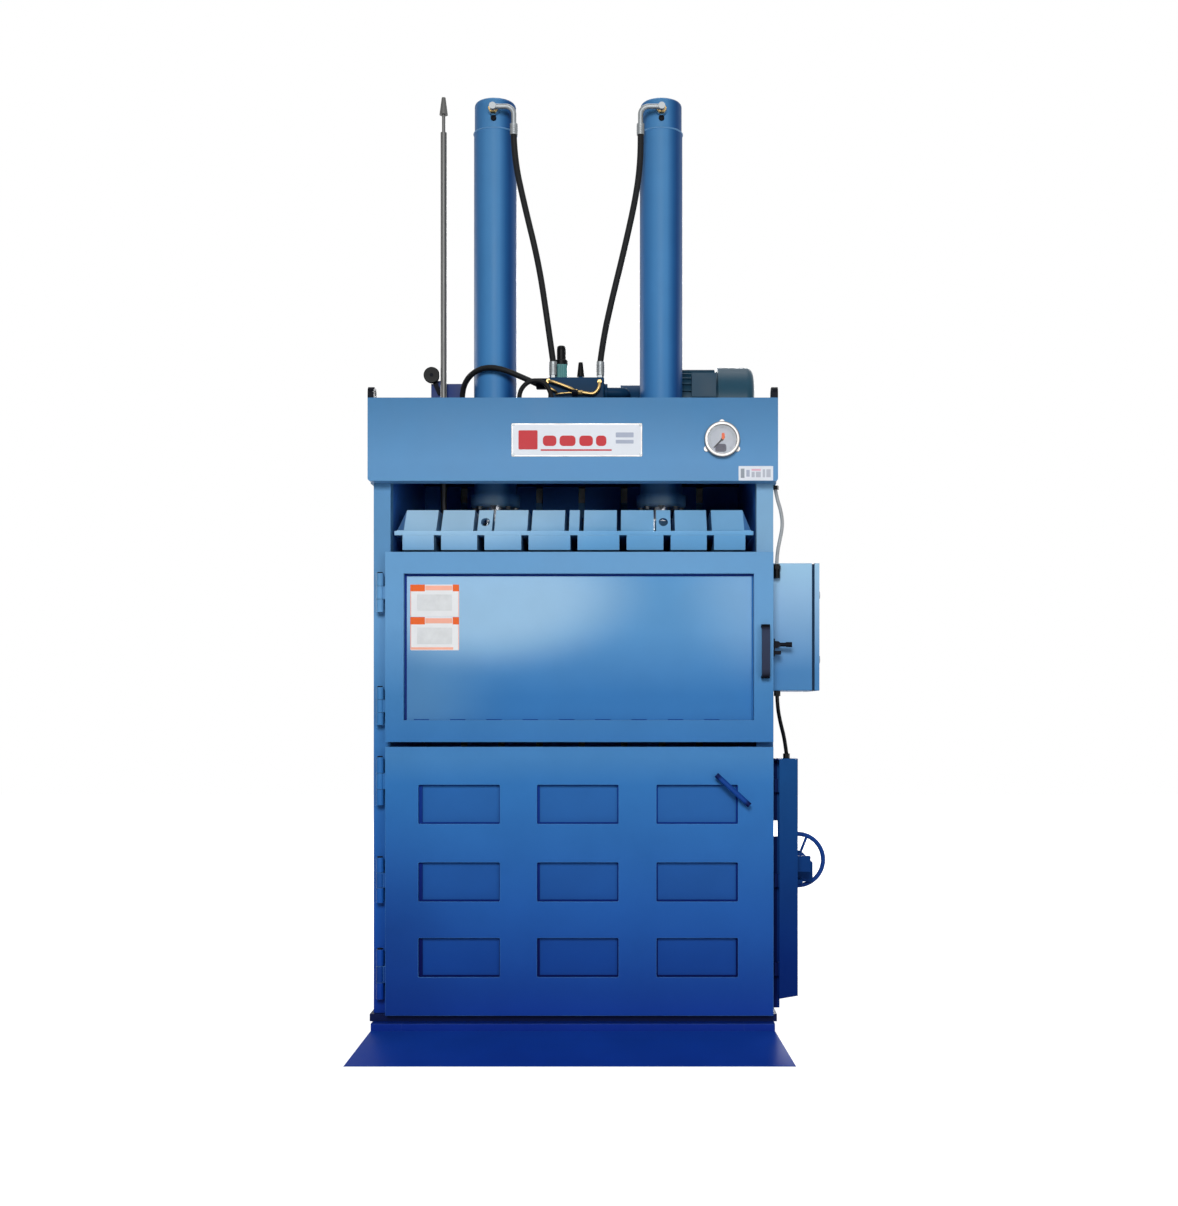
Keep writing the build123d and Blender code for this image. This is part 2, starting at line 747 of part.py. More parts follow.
def make_platen():
    """Platen plate, press bars, ribs with the pin lugs, pins and trip rod."""
    plate = block(
        (-platen_half, platen_half),
        (platen_front_y, platen_rear_y),
        (platen_z, rib_bottom_z),
    )
    save("platen_plate", plate)

    edges = [-press_bar_half_span]
    for place in strap_places:
        edges += [place - press_bar_gap / 2, place + press_bar_gap / 2]
    edges.append(press_bar_half_span)
    bar_z = (platen_z - press_bar_height, platen_z)
    bars = []
    for left, right in zip(edges[0::2], edges[1::2]):
        bar_y = (platen_front_y, platen_rear_y)
        bars.append(box_tube((left, right), bar_y, bar_z, tube_wall, "y", cap=tube_wall))
    save("press_bars", *bars)

    front = platen_front_y + rib_front_inset
    rear = platen_rear_y - rib_front_inset
    profile = [(front, rib_bottom_z), (rear, rib_bottom_z)]
    profile += [(rear - rib_slope, rib_top_z), (front + rib_slope, rib_top_z)]
    ribs = []
    inner_end = cylinder_x - lug_space_inner
    outer_start = cylinder_x + lug_space_outer
    outer_end = platen_half - rib_side_inset - rib_end_slope
    inner_width = (inner_end - rib_centre_gap - rib_inner_gap) / 2
    outer_width = (outer_end - outer_start - rib_outer_gap) / 2
    rib_spans = [(rib_centre_gap, rib_centre_gap + inner_width), (inner_end - inner_width, inner_end)]
    rib_spans += [(outer_start, outer_start + outer_width), (outer_end - outer_width, outer_end)]
    for side in (-1, 1):
        for span in rib_spans:
            is_end = span == rib_spans[-1]
            rib_x = mirrored(span[0], span[1] + rib_end_slope if is_end else span[1], side)
            rib = prism_yz(profile, rib_x)
            hollow_x = (rib_x[0] + rib_wall, rib_x[1] - rib_wall)
            if is_end:
                end = [(side * (span[1] + rib_end_slope), rib_bottom_z), (side * span[1], rib_top_z)]
                end += [(side * (span[1] + 2 * rib_end_slope), rib_top_z)]
                end += [(side * (span[1] + 2 * rib_end_slope), rib_bottom_z)]
                rib -= prism_xz(end, (front - overcut, rear + overcut))
                hollow_x = mirrored(span[0] + rib_wall, span[1] - rib_wall, side)
            hollow_y = (front + rib_slope, rear - rib_slope)
            rib -= block(hollow_x, hollow_y, (rib_bottom_z - overcut, rib_top_z - rib_wall))
            ribs.append(rib)
    half = centre_plate / 2
    ribs.append(prism_yz(profile, (-half, half)))

    pins = []
    for side in (-1, 1):
        x = side * cylinder_x
        lug_x = (x - lug_half_width, x + lug_half_width)
        lug_inner = rod_eye_thickness / 2 + side_play
        lug_outer = lug_inner + lug_thickness
        hole = pin_diameter + 2 * running_gap
        for lug_y in ((-lug_outer, -lug_inner), (lug_inner, lug_outer)):
            lug = block(lug_x, lug_y, (rib_bottom_z, rib_top_z))
            ribs.append(lug - rod_along_y(x, pin_z, (lug_y[0] - overcut, lug_y[1] + overcut), hole))
        access = prism_yz(profile, lug_x) & block(
            lug_x, (front, front + rib_slope + lug_thickness), (rib_bottom_z, rib_top_z)
        )
        ribs.append(access - rod_along_y(x, pin_z, (front - overcut, front + 2 * rib_slope), hole))
        pin = rod_along_y(x, pin_z, (-lug_outer, lug_outer), pin_diameter)
        pins.append(pin)
    save("platen_ribs", *ribs)
    save("rod_pins", *pins)

    foot_z = (rib_top_z, rib_top_z + trip_foot_height)
    foot = rod_along_z(trip_x, 0, foot_z, trip_foot)
    rod = rod_along_z(trip_x, 0, (foot_z[1], trip_shaft_top_z), trip_diameter)
    rod += rod_along_z(trip_x, 0, (trip_shaft_top_z, trip_cone_z), trip_neck_diameter)
    cone_height = trip_top_z - trip_cone_z
    cone = Cone(trip_cone_diameter / 2, trip_tip_diameter / 2, cone_height)
    rod += Pos(trip_x, 0, trip_cone_z + cone_height / 2) * cone
    save("trip_rod", foot, rod)


def make_limit_switch():
    """Bracket with the switch on it, and the roller arm that the trip rod pushes."""
    plate_y = (switch_plate_y, switch_plate_y + switch_plate_thickness)
    plate_x = (switch_plate_left, switch_plate_right)
    bracket = block(plate_x, plate_y, (deck_z, switch_plate_top_z))
    foot_z = (deck_z, deck_z + switch_plate_thickness)
    bracket += block(plate_x, (plate_y[0], plate_y[1] + switch_body_depth), foot_z)
    shaft_hole = arm_shaft_diameter + 2 * trip_guide_gap
    hole_y = (plate_y[0] - overcut, plate_y[1] + overcut)
    bracket -= rod_along_y(arm_pivot_x, arm_pivot_z, hole_y, shaft_hole)
    body_x = (arm_pivot_x - switch_body_width / 2, arm_pivot_x + switch_body_width / 2)
    body_z = (arm_pivot_z - switch_body_height / 2, arm_pivot_z + switch_body_height / 2)
    body = block(body_x, (plate_y[1], plate_y[1] + switch_body_depth), body_z)
    socket_y = (plate_y[1] - overcut, plate_y[1] + switch_body_depth / 2)
    body -= rod_along_y(arm_pivot_x, arm_pivot_z, socket_y, shaft_hole)
    save("limit_switch", bracket, body)

    arm_y = (roller_y + roller_width, roller_y + roller_width + arm_thickness)
    reach_x = roller_x - arm_pivot_x
    reach_z = roller_z - arm_pivot_z
    lean = math.degrees(math.atan2(reach_x, reach_z))
    reach = math.hypot(reach_x, reach_z)
    bar = Pos(arm_pivot_x, arm_y[0] + arm_thickness / 2, arm_pivot_z) * Rot(0, lean, 0)
    arm = bar * Pos(0, 0, reach / 2) * Box(arm_width, arm_thickness, reach)
    arm += rod_along_y(arm_pivot_x, arm_pivot_z, arm_y, arm_width)
    arm += rod_along_y(roller_x, roller_z, arm_y, arm_width)
    arm += rod_along_y(roller_x, roller_z, (roller_y - running_gap, arm_y[0]), arm_shaft_diameter)
    arm += rod_along_y(arm_pivot_x, arm_pivot_z, (arm_y[0], socket_y[1] - end_gap), arm_shaft_diameter)
    save("limit_switch_arm", arm)
    roller = rod_along_y(roller_x, roller_z, (roller_y, arm_y[0]), roller_diameter)
    roller = fillet(roller.edges().filter_by(GeomType.CIRCLE), roller_edge)
    bore_size = arm_shaft_diameter + 2 * running_gap
    bore_y = (roller_y - overcut, arm_y[0] + overcut)
    save("limit_roller", roller - rod_along_y(roller_x, roller_z, bore_y, bore_size))


def make_power_pack():
    """Oil tank, motor, pump, valve block, solenoid and relief knob."""
    tank_z = (ceiling_top_z, deck_bottom_z)
    tank = block((tank_left, tank_right), (tank_front_y, tank_rear_y), tank_z)
    save("oil_tank", fillet(tank.edges().filter_by(Axis.Z), tank_edge))

    core_radius = motor_radius - fin_height
    motor = rod_along_x(motor_y, motor_z, (motor_left, motor_body_right), 2 * core_radius)
    fin_x = (motor_left + fin_height * 2, motor_body_right - fin_height)
    for index in range(motor_fins):
        turn = 360 * index / motor_fins
        fin = block(fin_x, (-fin_width / 2, fin_width / 2), (core_radius - fin_height, motor_radius))
        motor += Pos(0, motor_y, motor_z) * Rot(turn, 0, 0) * fin
    for foot_x in (fin_x[0] + motor_foot_length, fin_x[1] - motor_foot_length):
        foot_span = (foot_x - motor_foot_length / 2, foot_x + motor_foot_length / 2)
        foot_y = (motor_y - motor_foot_width / 2, motor_y + motor_foot_width / 2)
        foot_profile = [(foot_y[0], deck_z), (foot_y[1], deck_z), (motor_y + motor_foot_top, motor_z)]
        foot_profile += [(motor_y - motor_foot_top, motor_z)]
        motor += prism_yz(foot_profile, foot_span)
    box_x = motor_body_right - terminal_box_size
    terminal_y = (motor_y - motor_radius - terminal_box_height / 2, motor_y)
    terminal_z = (motor_z, motor_z + terminal_box_size)
    motor += block((box_x - fin_height, motor_body_right - fin_height), terminal_y, terminal_z)
    save("motor_body", motor)

    cowl = rod_along_x(motor_y, motor_z, (motor_body_right, motor_right), 2 * cowl_radius)
    rim = cowl.edges().filter_by(GeomType.CIRCLE).group_by(Axis.X)[-1]
    save("motor_fan_cowl", fillet(rim, cowl_edge))

    bell = rod_along_x(motor_y, motor_z, (bell_left, motor_left), 2 * bell_radius)
    bell += rod_along_x(motor_y, motor_z, (motor_left - fin_height, motor_left), bell_flange)
    pump = rod_along_x(motor_y, motor_z, (pump_left, bell_left), 2 * pump_radius)
    rim = pump.edges().filter_by(GeomType.CIRCLE).group_by(Axis.X)[0]
    save("pump", bell, fillet(rim, pump_edge))

    body = block((block_left, block_right), (block_front_y, block_rear_y), (deck_z, block_top_z))
    body = fillet(body.edges(), block_edge)
    body += rod_along_z(coil_x, coil_y, (block_top_z - block_edge, coil_top_z), coil_stem_diameter)
    stem_top_z = knob_bottom_z + knob_bore_depth - end_gap
    body += rod_along_z(knob_x, knob_y, (block_top_z - block_edge, stem_top_z), knob_stem_diameter)
    save("valve_block", body)

    half = coil_width / 2
    coil = block(
        (coil_x - half, coil_x + half),
        (coil_y - half, coil_y + half),
        (coil_bottom_z, coil_top_z),
    )
    coil = fillet(coil.edges().filter_by(Axis.Z), coil_corner)
    stem_hole = coil_stem_diameter + 2 * running_gap
    coil -= rod_along_z(coil_x, coil_y, (coil_bottom_z - overcut, coil_top_z + overcut), stem_hole)
    cap = rod_along_z(coil_x, coil_y, (coil_top_z, coil_cap_top_z), coil_cap_diameter)
    rim = cap.edges().filter_by(GeomType.CIRCLE).group_by(Axis.Z)[-1]
    save("solenoid_coil", coil, fillet(rim, coil_cap_edge))

    knob_height = knob_top_z - knob_bottom_z
    knob = Cone(knob_diameter / 2, knob_tip_diameter / 2, knob_height)
    knob = Pos(knob_x, knob_y, knob_bottom_z + knob_height / 2) * knob
    socket_z = (knob_bottom_z - overcut, knob_bottom_z + knob_bore_depth)
    save("relief_knob", knob - rod_along_z(knob_x, knob_y, socket_z, knob_stem_diameter + 2 * running_gap))


def make_feed_door():
    """Channel frame, recessed panel with the liner, and the pull handle."""
    liner_front_y = door_rear_y - door_sheet
    outer = block((door_left, door_right), (door_front_y, liner_front_y), (feed_bottom_z, feed_top_z))
    panel_x = (feed_panel_left, feed_panel_right)
    panel_z = (feed_panel_bottom_z, feed_panel_top_z)
    past_y = (door_front_y - overcut, liner_front_y + overcut)
    inside_y = (door_front_y + door_sheet, liner_front_y + overcut)
    hollow = block(
        (door_left + door_sheet, door_right - door_sheet),
        inside_y,
        (feed_bottom_z + door_sheet, feed_top_z - door_sheet),
    )
    hollow -= block(
        (panel_x[0] - door_sheet, panel_x[1] + door_sheet),
        (door_front_y, liner_front_y + 2 * overcut),
        (panel_z[0] - door_sheet, panel_z[1] + door_sheet),
    )
    frame = outer - hollow - block(panel_x, past_y, panel_z)
    for bottom, top in feed_hinge_spans:
        frame += hinge_knuckle(bottom, top, fixed=False)
    save("feed_door_frame", frame)

    panel_front_y = door_front_y + feed_recess
    panel = block(panel_x, (panel_front_y, panel_front_y + door_sheet), panel_z)
    liner_z = (feed_bottom_z, feed_top_z)
    liner = block((door_left, door_right), (liner_front_y, door_rear_y), liner_z)
    save("feed_door_panel", panel, liner)

    handle_x = (pull_x - pull_width / 2, pull_x + pull_width / 2)
    handle_z = (pull_z - pull_length / 2, pull_z + pull_length / 2)
    handle = block(handle_x, (door_front_y - pull_reach, door_front_y), handle_z)
    gap_z = (handle_z[0] + pull_bar, handle_z[1] - pull_bar)
    gap_x = (handle_x[0] - overcut, handle_x[1] + overcut)
    outer_edges = handle.edges().filter_by(Axis.X).group_by(Axis.Y)[0]
    handle = fillet(outer_edges, pull_corner)
    handle -= block(gap_x, (door_front_y - pull_reach + pull_bar, door_front_y + overcut), gap_z)
    save("feed_door_handle", handle)


def make_bale_door():
    """Windowed face with its edge walls, the trays and ribs behind, and the handle."""
    liner_front_y = door_rear_y - bale_liner
    face_rear_y = door_front_y + bale_face_plate
    face = block((door_left, door_right), (door_front_y, liner_front_y), (bale_bottom_z, bale_top_z))
    inner_x = (door_left + bale_edge_rib, door_right - bale_edge_rib)
    inner_z = (bale_bottom_z + bale_edge_rib, bale_top_z - bale_edge_rib)
    face -= block(inner_x, (face_rear_y, liner_front_y + overcut), inner_z)
    trays = []
    tray_rear_y = door_front_y + bale_panel_recess + bale_panel
    columns = pane_spans(door_left, door_right, window_margins_x, window_bars_x)
    rows = pane_spans(bale_bottom_z, bale_top_z, window_margins_z, window_bars_z)
    for column in columns:
        for row in rows:
            window = block(column, (door_front_y - overcut, face_rear_y + overcut), row)
            face -= fillet(window.edges().filter_by(Axis.Y), window_corner)
            tray_x = (column[0] - bale_panel, column[1] + bale_panel)
            tray_z = (row[0] - bale_panel, row[1] + bale_panel)
            tray = block(tray_x, (face_rear_y, tray_rear_y), tray_z)
            trays.append(tray - block(column, (face_rear_y - overcut, tray_rear_y - bale_panel), row))
    for bottom, top in bale_hinge_spans:
        face += hinge_knuckle(bottom, top, fixed=False)
    save("bale_door_face", face)

    back = block((door_left, door_right), (liner_front_y, door_rear_y), (bale_bottom_z, bale_top_z))
    for left, right in zip(columns, columns[1:]):
        middle = (left[1] + right[0]) / 2
        rib_x = (middle - bale_edge_rib / 2, middle + bale_edge_rib / 2)
        back += block(rib_x, (face_rear_y, liner_front_y), inner_z)
    save("bale_door_back", back, *trays)

    bar_y = door_front_y - bale_handle_reach
    start = Vector(door_right - bale_handle_upper[0], bar_y, bale_top_z - bale_handle_upper[1])
    end = Vector(door_right - bale_handle_lower[0], bar_y, bale_top_z - bale_handle_lower[1])
    along = Plane(origin=start, z_dir=end - start)
    length = (end - start).length
    bar = along * Pos(0, 0, length / 2) * Cylinder(bale_handle_bar / 2, length)
    for reach in (bale_handle_stud_inset, length - bale_handle_stud_inset):
        place = start + (end - start) * (reach / length)
        bar += rod_along_y(place.X, place.Z, (bar_y, door_front_y), bale_handle_stud)
    save("bale_door_handle", bar)


def make_latch():
    """Cast base on the right post and the lever that turns on its pin."""
    base_x = (body_half, body_half + latch_base_thickness)
    base_y = (latch_y - latch_width / 2, latch_y + latch_width / 2)
    base = block(base_x, base_y, (latch_bottom_z, latch_top_z))
    foot_z = (latch_foot_z - latch_foot_height / 2, latch_foot_z + latch_foot_height / 2)
    base += block((base_x[0], latch_foot_right), base_y, foot_z)
    for ear_y in ((base_y[0], base_y[0] + latch_ear), (base_y[1] - latch_ear, base_y[1])):
        ear_z = (latch_pivot_z - latch_hub_diameter / 2, latch_pivot_z + latch_hub_diameter / 2)
        base += block((base_x[0], latch_hub_x), ear_y, ear_z)
        base += rod_along_y(latch_hub_x, latch_pivot_z, ear_y, latch_hub_diameter)
    base += rod_along_y(latch_hub_x, latch_pivot_z, base_y, latch_pin_diameter)
    save("latch_base", base)

    hub_y = (base_y[0] + latch_ear + side_play, base_y[1] - latch_ear - side_play)
    hub_size = 2 * (latch_hub_x - base_x[1]) - 2 * side_play
    lever = rod_along_y(latch_hub_x, latch_pivot_z, hub_y, hub_size)
    lever += rod_along_x(latch_y, latch_pivot_z, (latch_hub_x, latch_lever_end), latch_lever_diameter)
    grip_x = (latch_grip_left, latch_lever_end)
    lever += rod_along_x(latch_y, latch_pivot_z, grip_x, latch_grip_diameter)
    pin_hole = latch_pin_diameter + 2 * running_gap
    save("latch_lever", lever - rod_along_y(latch_hub_x, latch_pivot_z, base_y, pin_hole))


def make_lock():
    """Folded cover, lock bar with its screw, bracket and handwheel."""
    outline = [(cover_left, cover_left_bottom_z), (cover_right, cover_right_bottom_z)]
    outline += [(cover_right, cover_top_z), (cover_left, cover_top_z)]
    cover = prism_xz(outline, (cover_front_y, cover_front_y + cover_sheet))
    side_z = (cover_right_bottom_z, cover_top_z)
    cover += block((cover_right - cover_sheet, cover_right), (cover_front_y, cover_rear_y), side_z)
    strip_x = (body_half, cover_left + strip_overlap)
    strip_y = (cover_rear_y - cover_sheet, cover_rear_y)
    cover += block(strip_x, strip_y, (strip_bottom_z, cover_top_z))
    window_z = (cover_window_bottom_z, cover_window_top_z)
    window_y = (strip_y[0] - overcut, strip_y[1] + overcut)
    cover -= block((body_half - overcut, cover_left), window_y, window_z)
    cap_z = (cover_top_z - cover_sheet, cover_top_z)
    cover += block((body_half, cover_right), (cover_front_y, cover_rear_y), cap_z)
    foot = [(cover_left, cover_left_bottom_z), (cover_right, cover_right_bottom_z)]
    foot.append((cover_right, cover_right_bottom_z + cover_sheet))
    foot.append((cover_left, cover_left_bottom_z + cover_sheet))
    cover += prism_xz(foot, (cover_front_y, cover_rear_y))
    save("lock_cover", cover)

    corner = bracket_right - bracket_chamfer
    outline = [(body_half, bracket_bottom_z), (bracket_right, bracket_bottom_z)]
    outline += [(bracket_right, bracket_top_z - bracket_chamfer), (corner, bracket_top_z)]
    outline += [(body_half, bracket_top_z)]
    plate_rear_y = bracket_y + bracket_plate
    bracket = prism_xz(outline, (bracket_y, plate_rear_y))
    shelf_z = (bracket_bottom_z, bracket_bottom_z + bracket_plate)
    bracket += block((body_half, corner), (bracket_y - bracket_foot, bracket_y), shelf_z)
    hole = journal_diameter + 2 * running_gap
    bracket -= rod_along_y(wheel_x, wheel_z, (bracket_y - overcut, plate_rear_y + overcut), hole)
    save("lock_bracket", bracket)

    hub_y = (plate_rear_y + collar_gap, plate_rear_y + collar_gap + wheel_hub_length)
    wheel_y = (hub_y[0] + hub_y[1]) / 2
    rim_radius = (wheel_diameter - wheel_rim) / 2
    wheel = Pos(wheel_x, wheel_y, wheel_z) * Rot(90, 0, 0) * Torus(rim_radius, wheel_rim / 2)
    for index in range(wheel_spokes):
        turn = wheel_spoke_turn + 360 * index / wheel_spokes
        spoke = Pos(rim_radius / 2, 0, 0) * Rot(0, 90, 0) * Cylinder(wheel_spoke / 2, rim_radius)
        wheel += Pos(wheel_x, wheel_y, wheel_z) * Rot(0, -turn, 0) * spoke
    wheel += rod_along_y(wheel_x, wheel_z, hub_y, wheel_hub_diameter)
    collar_y = (bracket_y - collar_gap - collar_thickness, bracket_y - collar_gap)
    wheel += rod_along_y(wheel_x, wheel_z, (collar_y[0], hub_y[0]), journal_diameter)
    wheel += rod_along_y(wheel_x, wheel_z, collar_y, collar_diameter)
    thread_hole = screw_diameter + 2 * trip_guide_gap
    wheel -= rod_along_y(wheel_x, wheel_z, (collar_y[0] - overcut, hub_y[1] + overcut), thread_hole)
    save("handwheel", wheel)

    bar_y = (lock_bar_front_y, lock_bar_front_y + lock_bar_thickness)
    bar = block((lock_bar_left, lock_bar_right), bar_y, (lock_bar_bottom_z, lock_bar_top_z))
    for level in claw_levels:
        claw_z = (level - claw_height / 2, level + claw_height / 2)
        bar += block((claw_left, lock_bar_left), bar_y, claw_z)
    arm_z = (wheel_z - arm_plate_half, wheel_z + arm_plate_half)
    arm_rear_y = arm_plate_y + arm_plate_thickness
    bar += block((lock_bar_left, lock_bar_left + arm_plate_thickness), (bar_y[0], arm_rear_y), arm_z)
    bar += block((lock_bar_left, wheel_x + screw_diameter), (arm_plate_y, arm_rear_y), arm_z)
    bar += rod_along_y(wheel_x, wheel_z, (arm_plate_y, screw_rear_y), screw_diameter)
    save("lock_bar", bar)


def make_cabinet():
    """Control box on standoffs, its seal, door, switchgear and push buttons."""
    box_y = (cabinet_front_y, cabinet_rear_y)
    box_z = (cabinet_bottom_z, cabinet_top_z)
    box = block((cabinet_left, cabinet_right), box_y, box_z)
    box = fillet(box.edges().filter_by(Axis.X), cabinet_edge)
    inner_x = (cabinet_left + cabinet_sheet, cabinet_right + overcut)
    inner_y = (box_y[0] + cabinet_sheet, box_y[1] - cabinet_sheet)
    inner_z = (box_z[0] + cabinet_sheet, box_z[1] - cabinet_sheet)
    box -= block(inner_x, inner_y, inner_z)
    for level in (side_rib_levels[3], side_rib_levels[4]):
        for y in (box_y[0] + cabinet_standoff_inset, box_y[1] - cabinet_standoff_inset):
            half = cabinet_standoff / 2
            box += block((body_half, cabinet_left), (y - half, y + half), (level - half, level + half))
    axis_x = cabinet_right + gasket_thickness + panel_gap + cabinet_hinge_diameter / 2
    axis_y = cabinet_rear_y + panel_gap + cabinet_hinge_diameter / 2
    door_rear = cabinet_rear_y - panel_gap
    door_left_x = cabinet_right + gasket_thickness + panel_gap
    door_right_x = door_left_x + cabinet_door_thickness
    door = block((door_left_x, door_right_x), (box_y[0], door_rear), box_z)
    door = fillet(door.edges().filter_by(Axis.X), cabinet_edge)
    door -= block(
        (door_left_x - overcut, door_right_x - cabinet_door_sheet),
        (box_y[0] + cabinet_door_sheet, door_rear - cabinet_door_sheet),
        (box_z[0] + cabinet_door_sheet, box_z[1] - cabinet_door_sheet),
    )
    for level in cabinet_hinge_levels:
        lower = (level - cabinet_hinge_length / 2, level - side_play)
        upper = (level + side_play, level + cabinet_hinge_length / 2)
        fixed = rod_along_z(axis_x, axis_y, lower, cabinet_hinge_diameter)
        leaf_y = (cabinet_rear_y + panel_gap, axis_y)
        fixed += block((cabinet_right - cabinet_hinge_length / 2, axis_x), leaf_y, lower)
        pad_x = (cabinet_right - cabinet_hinge_length / 2, cabinet_right)
        fixed += block(pad_x, (cabinet_rear_y, axis_y), lower)
        box += fixed + rod_along_z(axis_x, axis_y, (lower[0], upper[1] - end_gap), cabinet_hinge_pin)
        moving = rod_along_z(axis_x, axis_y, upper, cabinet_hinge_diameter)
        moving += block((door_left_x, axis_x), (door_rear, axis_y), upper)
        hole = cabinet_hinge_pin + 2 * running_gap
        door += moving - rod_along_z(axis_x, axis_y, (upper[0] - overcut, upper[1] + overcut), hole)
    save("cabinet_box", box)

    seal_x = (cabinet_right, cabinet_right + gasket_thickness)
    seal_y = (box_y[0] + gasket_inset, box_y[1] - gasket_inset)
    seal_z = (box_z[0] + gasket_inset, box_z[1] - gasket_inset)
    seal = block(seal_x, seal_y, seal_z)
    seal -= block(
        (seal_x[0] - overcut, seal_x[1] + overcut),
        (seal_y[0] + gasket_width, seal_y[1] - gasket_width),
        (seal_z[0] + gasket_width, seal_z[1] - gasket_width),
    )
    save("cabinet_gasket", seal)

    bezel_x = (door_right_x, door_right_x + button_ring_height)
    hole_x = (door_right_x - cabinet_door_sheet - overcut, bezel_x[1] + overcut)
    for z, hole_size in ((estop_z, button_diameter), (down_z, button_diameter), (up_z, button_diameter)):
        door += rod_along_x(button_y, z, bezel_x, button_ring)
        door -= rod_along_x(button_y, z, hole_x, hole_size + 2 * button_gap)
    save("cabinet_door", door)

    stem_x = (door_left_x, door_right_x - button_travel)
    for name, z in (("down_button", down_z), ("up_button", up_z)):
        cap_x = (door_right_x - button_travel / 2, door_right_x + button_proud)
        button = rod_along_x(button_y, z, cap_x, button_diameter)
        rim = button.edges().filter_by(GeomType.CIRCLE).group_by(Axis.X)[-1]
        button = fillet(rim, button_edge)
        button += rod_along_x(button_y, z, (stem_x[0], cap_x[0]), button_stem)
        save(name, button)
    head_x = (bezel_x[1] + button_travel + side_play, door_right_x + estop_proud)
    head = rod_along_x(button_y, estop_z, head_x, estop_diameter)
    rim = head.edges().filter_by(GeomType.CIRCLE).group_by(Axis.X)[-1]
    head = fillet(rim, (head_x[1] - head_x[0]) / 2)
    head += rod_along_x(button_y, estop_z, (stem_x[0], head_x[0]), button_diameter)
    save("estop_button", head)

    panel_x = (cabinet_left + cabinet_sheet + mounting_plate_stud, 0)
    panel_x = (panel_x[0], panel_x[0] + mounting_plate)
    panel_y = (box_y[0] + mounting_plate_margin, box_y[1] - mounting_plate_margin)
    panel_z = (box_z[0] + mounting_plate_margin, box_z[1] - mounting_plate_margin)
    gear = block(panel_x, panel_y, panel_z)
    for y in (panel_y[0] + mounting_plate_margin, panel_y[1] - mounting_plate_margin):
        for z in (panel_z[0] + mounting_plate_margin, panel_z[1] - mounting_plate_margin):
            gear += rod_along_x(y, z, (cabinet_left + cabinet_sheet, panel_x[0]), mounting_plate_stud)
    pitch = (panel_y[1] - panel_y[0]) / relay_count
    for index in range(relay_count):
        middle = panel_y[0] + pitch * (index + 0.5)
        relay_y = (middle - relay_width / 2, middle + relay_width / 2)
        relay_x = (panel_x[1], panel_x[1] + relay_depth)
        gear += block(relay_x, relay_y, (relay_z - relay_height / 2, relay_z + relay_height / 2))
    save("switchgear", gear)


def make_gauge():
    """Pressure gauge with an eared bezel, and the needle on its spindle."""
    front = fascia_front_y - gauge_depth
    case = rod_along_y(gauge_x, gauge_z, (front, fascia_front_y), gauge_diameter)
    rim = case.edges().filter_by(GeomType.CIRCLE).group_by(Axis.Y)[0]
    case = fillet(rim, gauge_edge)
    for index in range(gauge_ears):
        angle = math.radians(90 + 360 * index / gauge_ears)
        ear_x = gauge_x + gauge_diameter / 2 * math.cos(angle)
        ear_z = gauge_z + gauge_diameter / 2 * math.sin(angle)
        ear_y = (fascia_front_y - gauge_ear_hole, fascia_front_y)
        case += rod_along_y(ear_x, ear_z, ear_y, gauge_ear_diameter)
    dial_y = front + gauge_dial_depth
    case -= rod_along_y(gauge_x, gauge_z, (front - overcut, dial_y), gauge_dial_diameter)
    spindle_hole = needle_spindle + 2 * running_gap
    case -= rod_along_y(gauge_x, gauge_z, (dial_y - overcut, dial_y + gauge_ear_hole), spindle_hole)
    save("gauge_case", case)

    needle_y = (dial_y - needle_lift - needle_thickness, dial_y - needle_lift)
    middle_y = (needle_y[0] + needle_y[1]) / 2
    blade = Pos((needle_length - needle_tail) / 2, 0, 0)
    blade = blade * Box(needle_length + needle_tail, needle_thickness, needle_width)
    needle = Pos(gauge_x, middle_y, gauge_z) * Rot(0, -needle_rest, 0) * blade
    needle += rod_along_y(gauge_x, gauge_z, needle_y, needle_hub_diameter)
    spindle_y = (needle_y[0], dial_y + gauge_ear_hole - end_gap)
    save("gauge_needle", needle + rod_along_y(gauge_x, gauge_z, spindle_y, needle_spindle))


def bend_radii(points):
    """Largest tangent arc at each inner point: 0.45 of the shorter run over tan(half turn)."""
    radii = []
    for before, corner, after in zip(points, points[1:], points[2:]):
        run_in = corner - before
        run_out = after - corner
        half_turn = math.radians(run_in.get_angle(run_out)) / 2
        radii.append(0.45 * min(run_in.length, run_out.length) / math.tan(half_turn))
    return radii


def route_tube(route, diameter):
    """Round tube along straight runs that are joined by tangent arcs."""
    points = [Vector(*point) for point in route]
    radii = bend_radii(points)
    path = FilletPolyline(*points, radius=radii)
    profile = Plane(origin=points[0], z_dir=points[1] - points[0]) * Circle(diameter / 2)
    tube = sweep(profile, path=path)
    expected = math.pi * diameter**2 / 4 * path.length
    smallest = min(radii) / diameter
    print(f"length {path.length:.0f}, least radius {smallest:.1f} diameters, "
          f"volume ratio {tube.volume / expected:.4f}")
    return tube


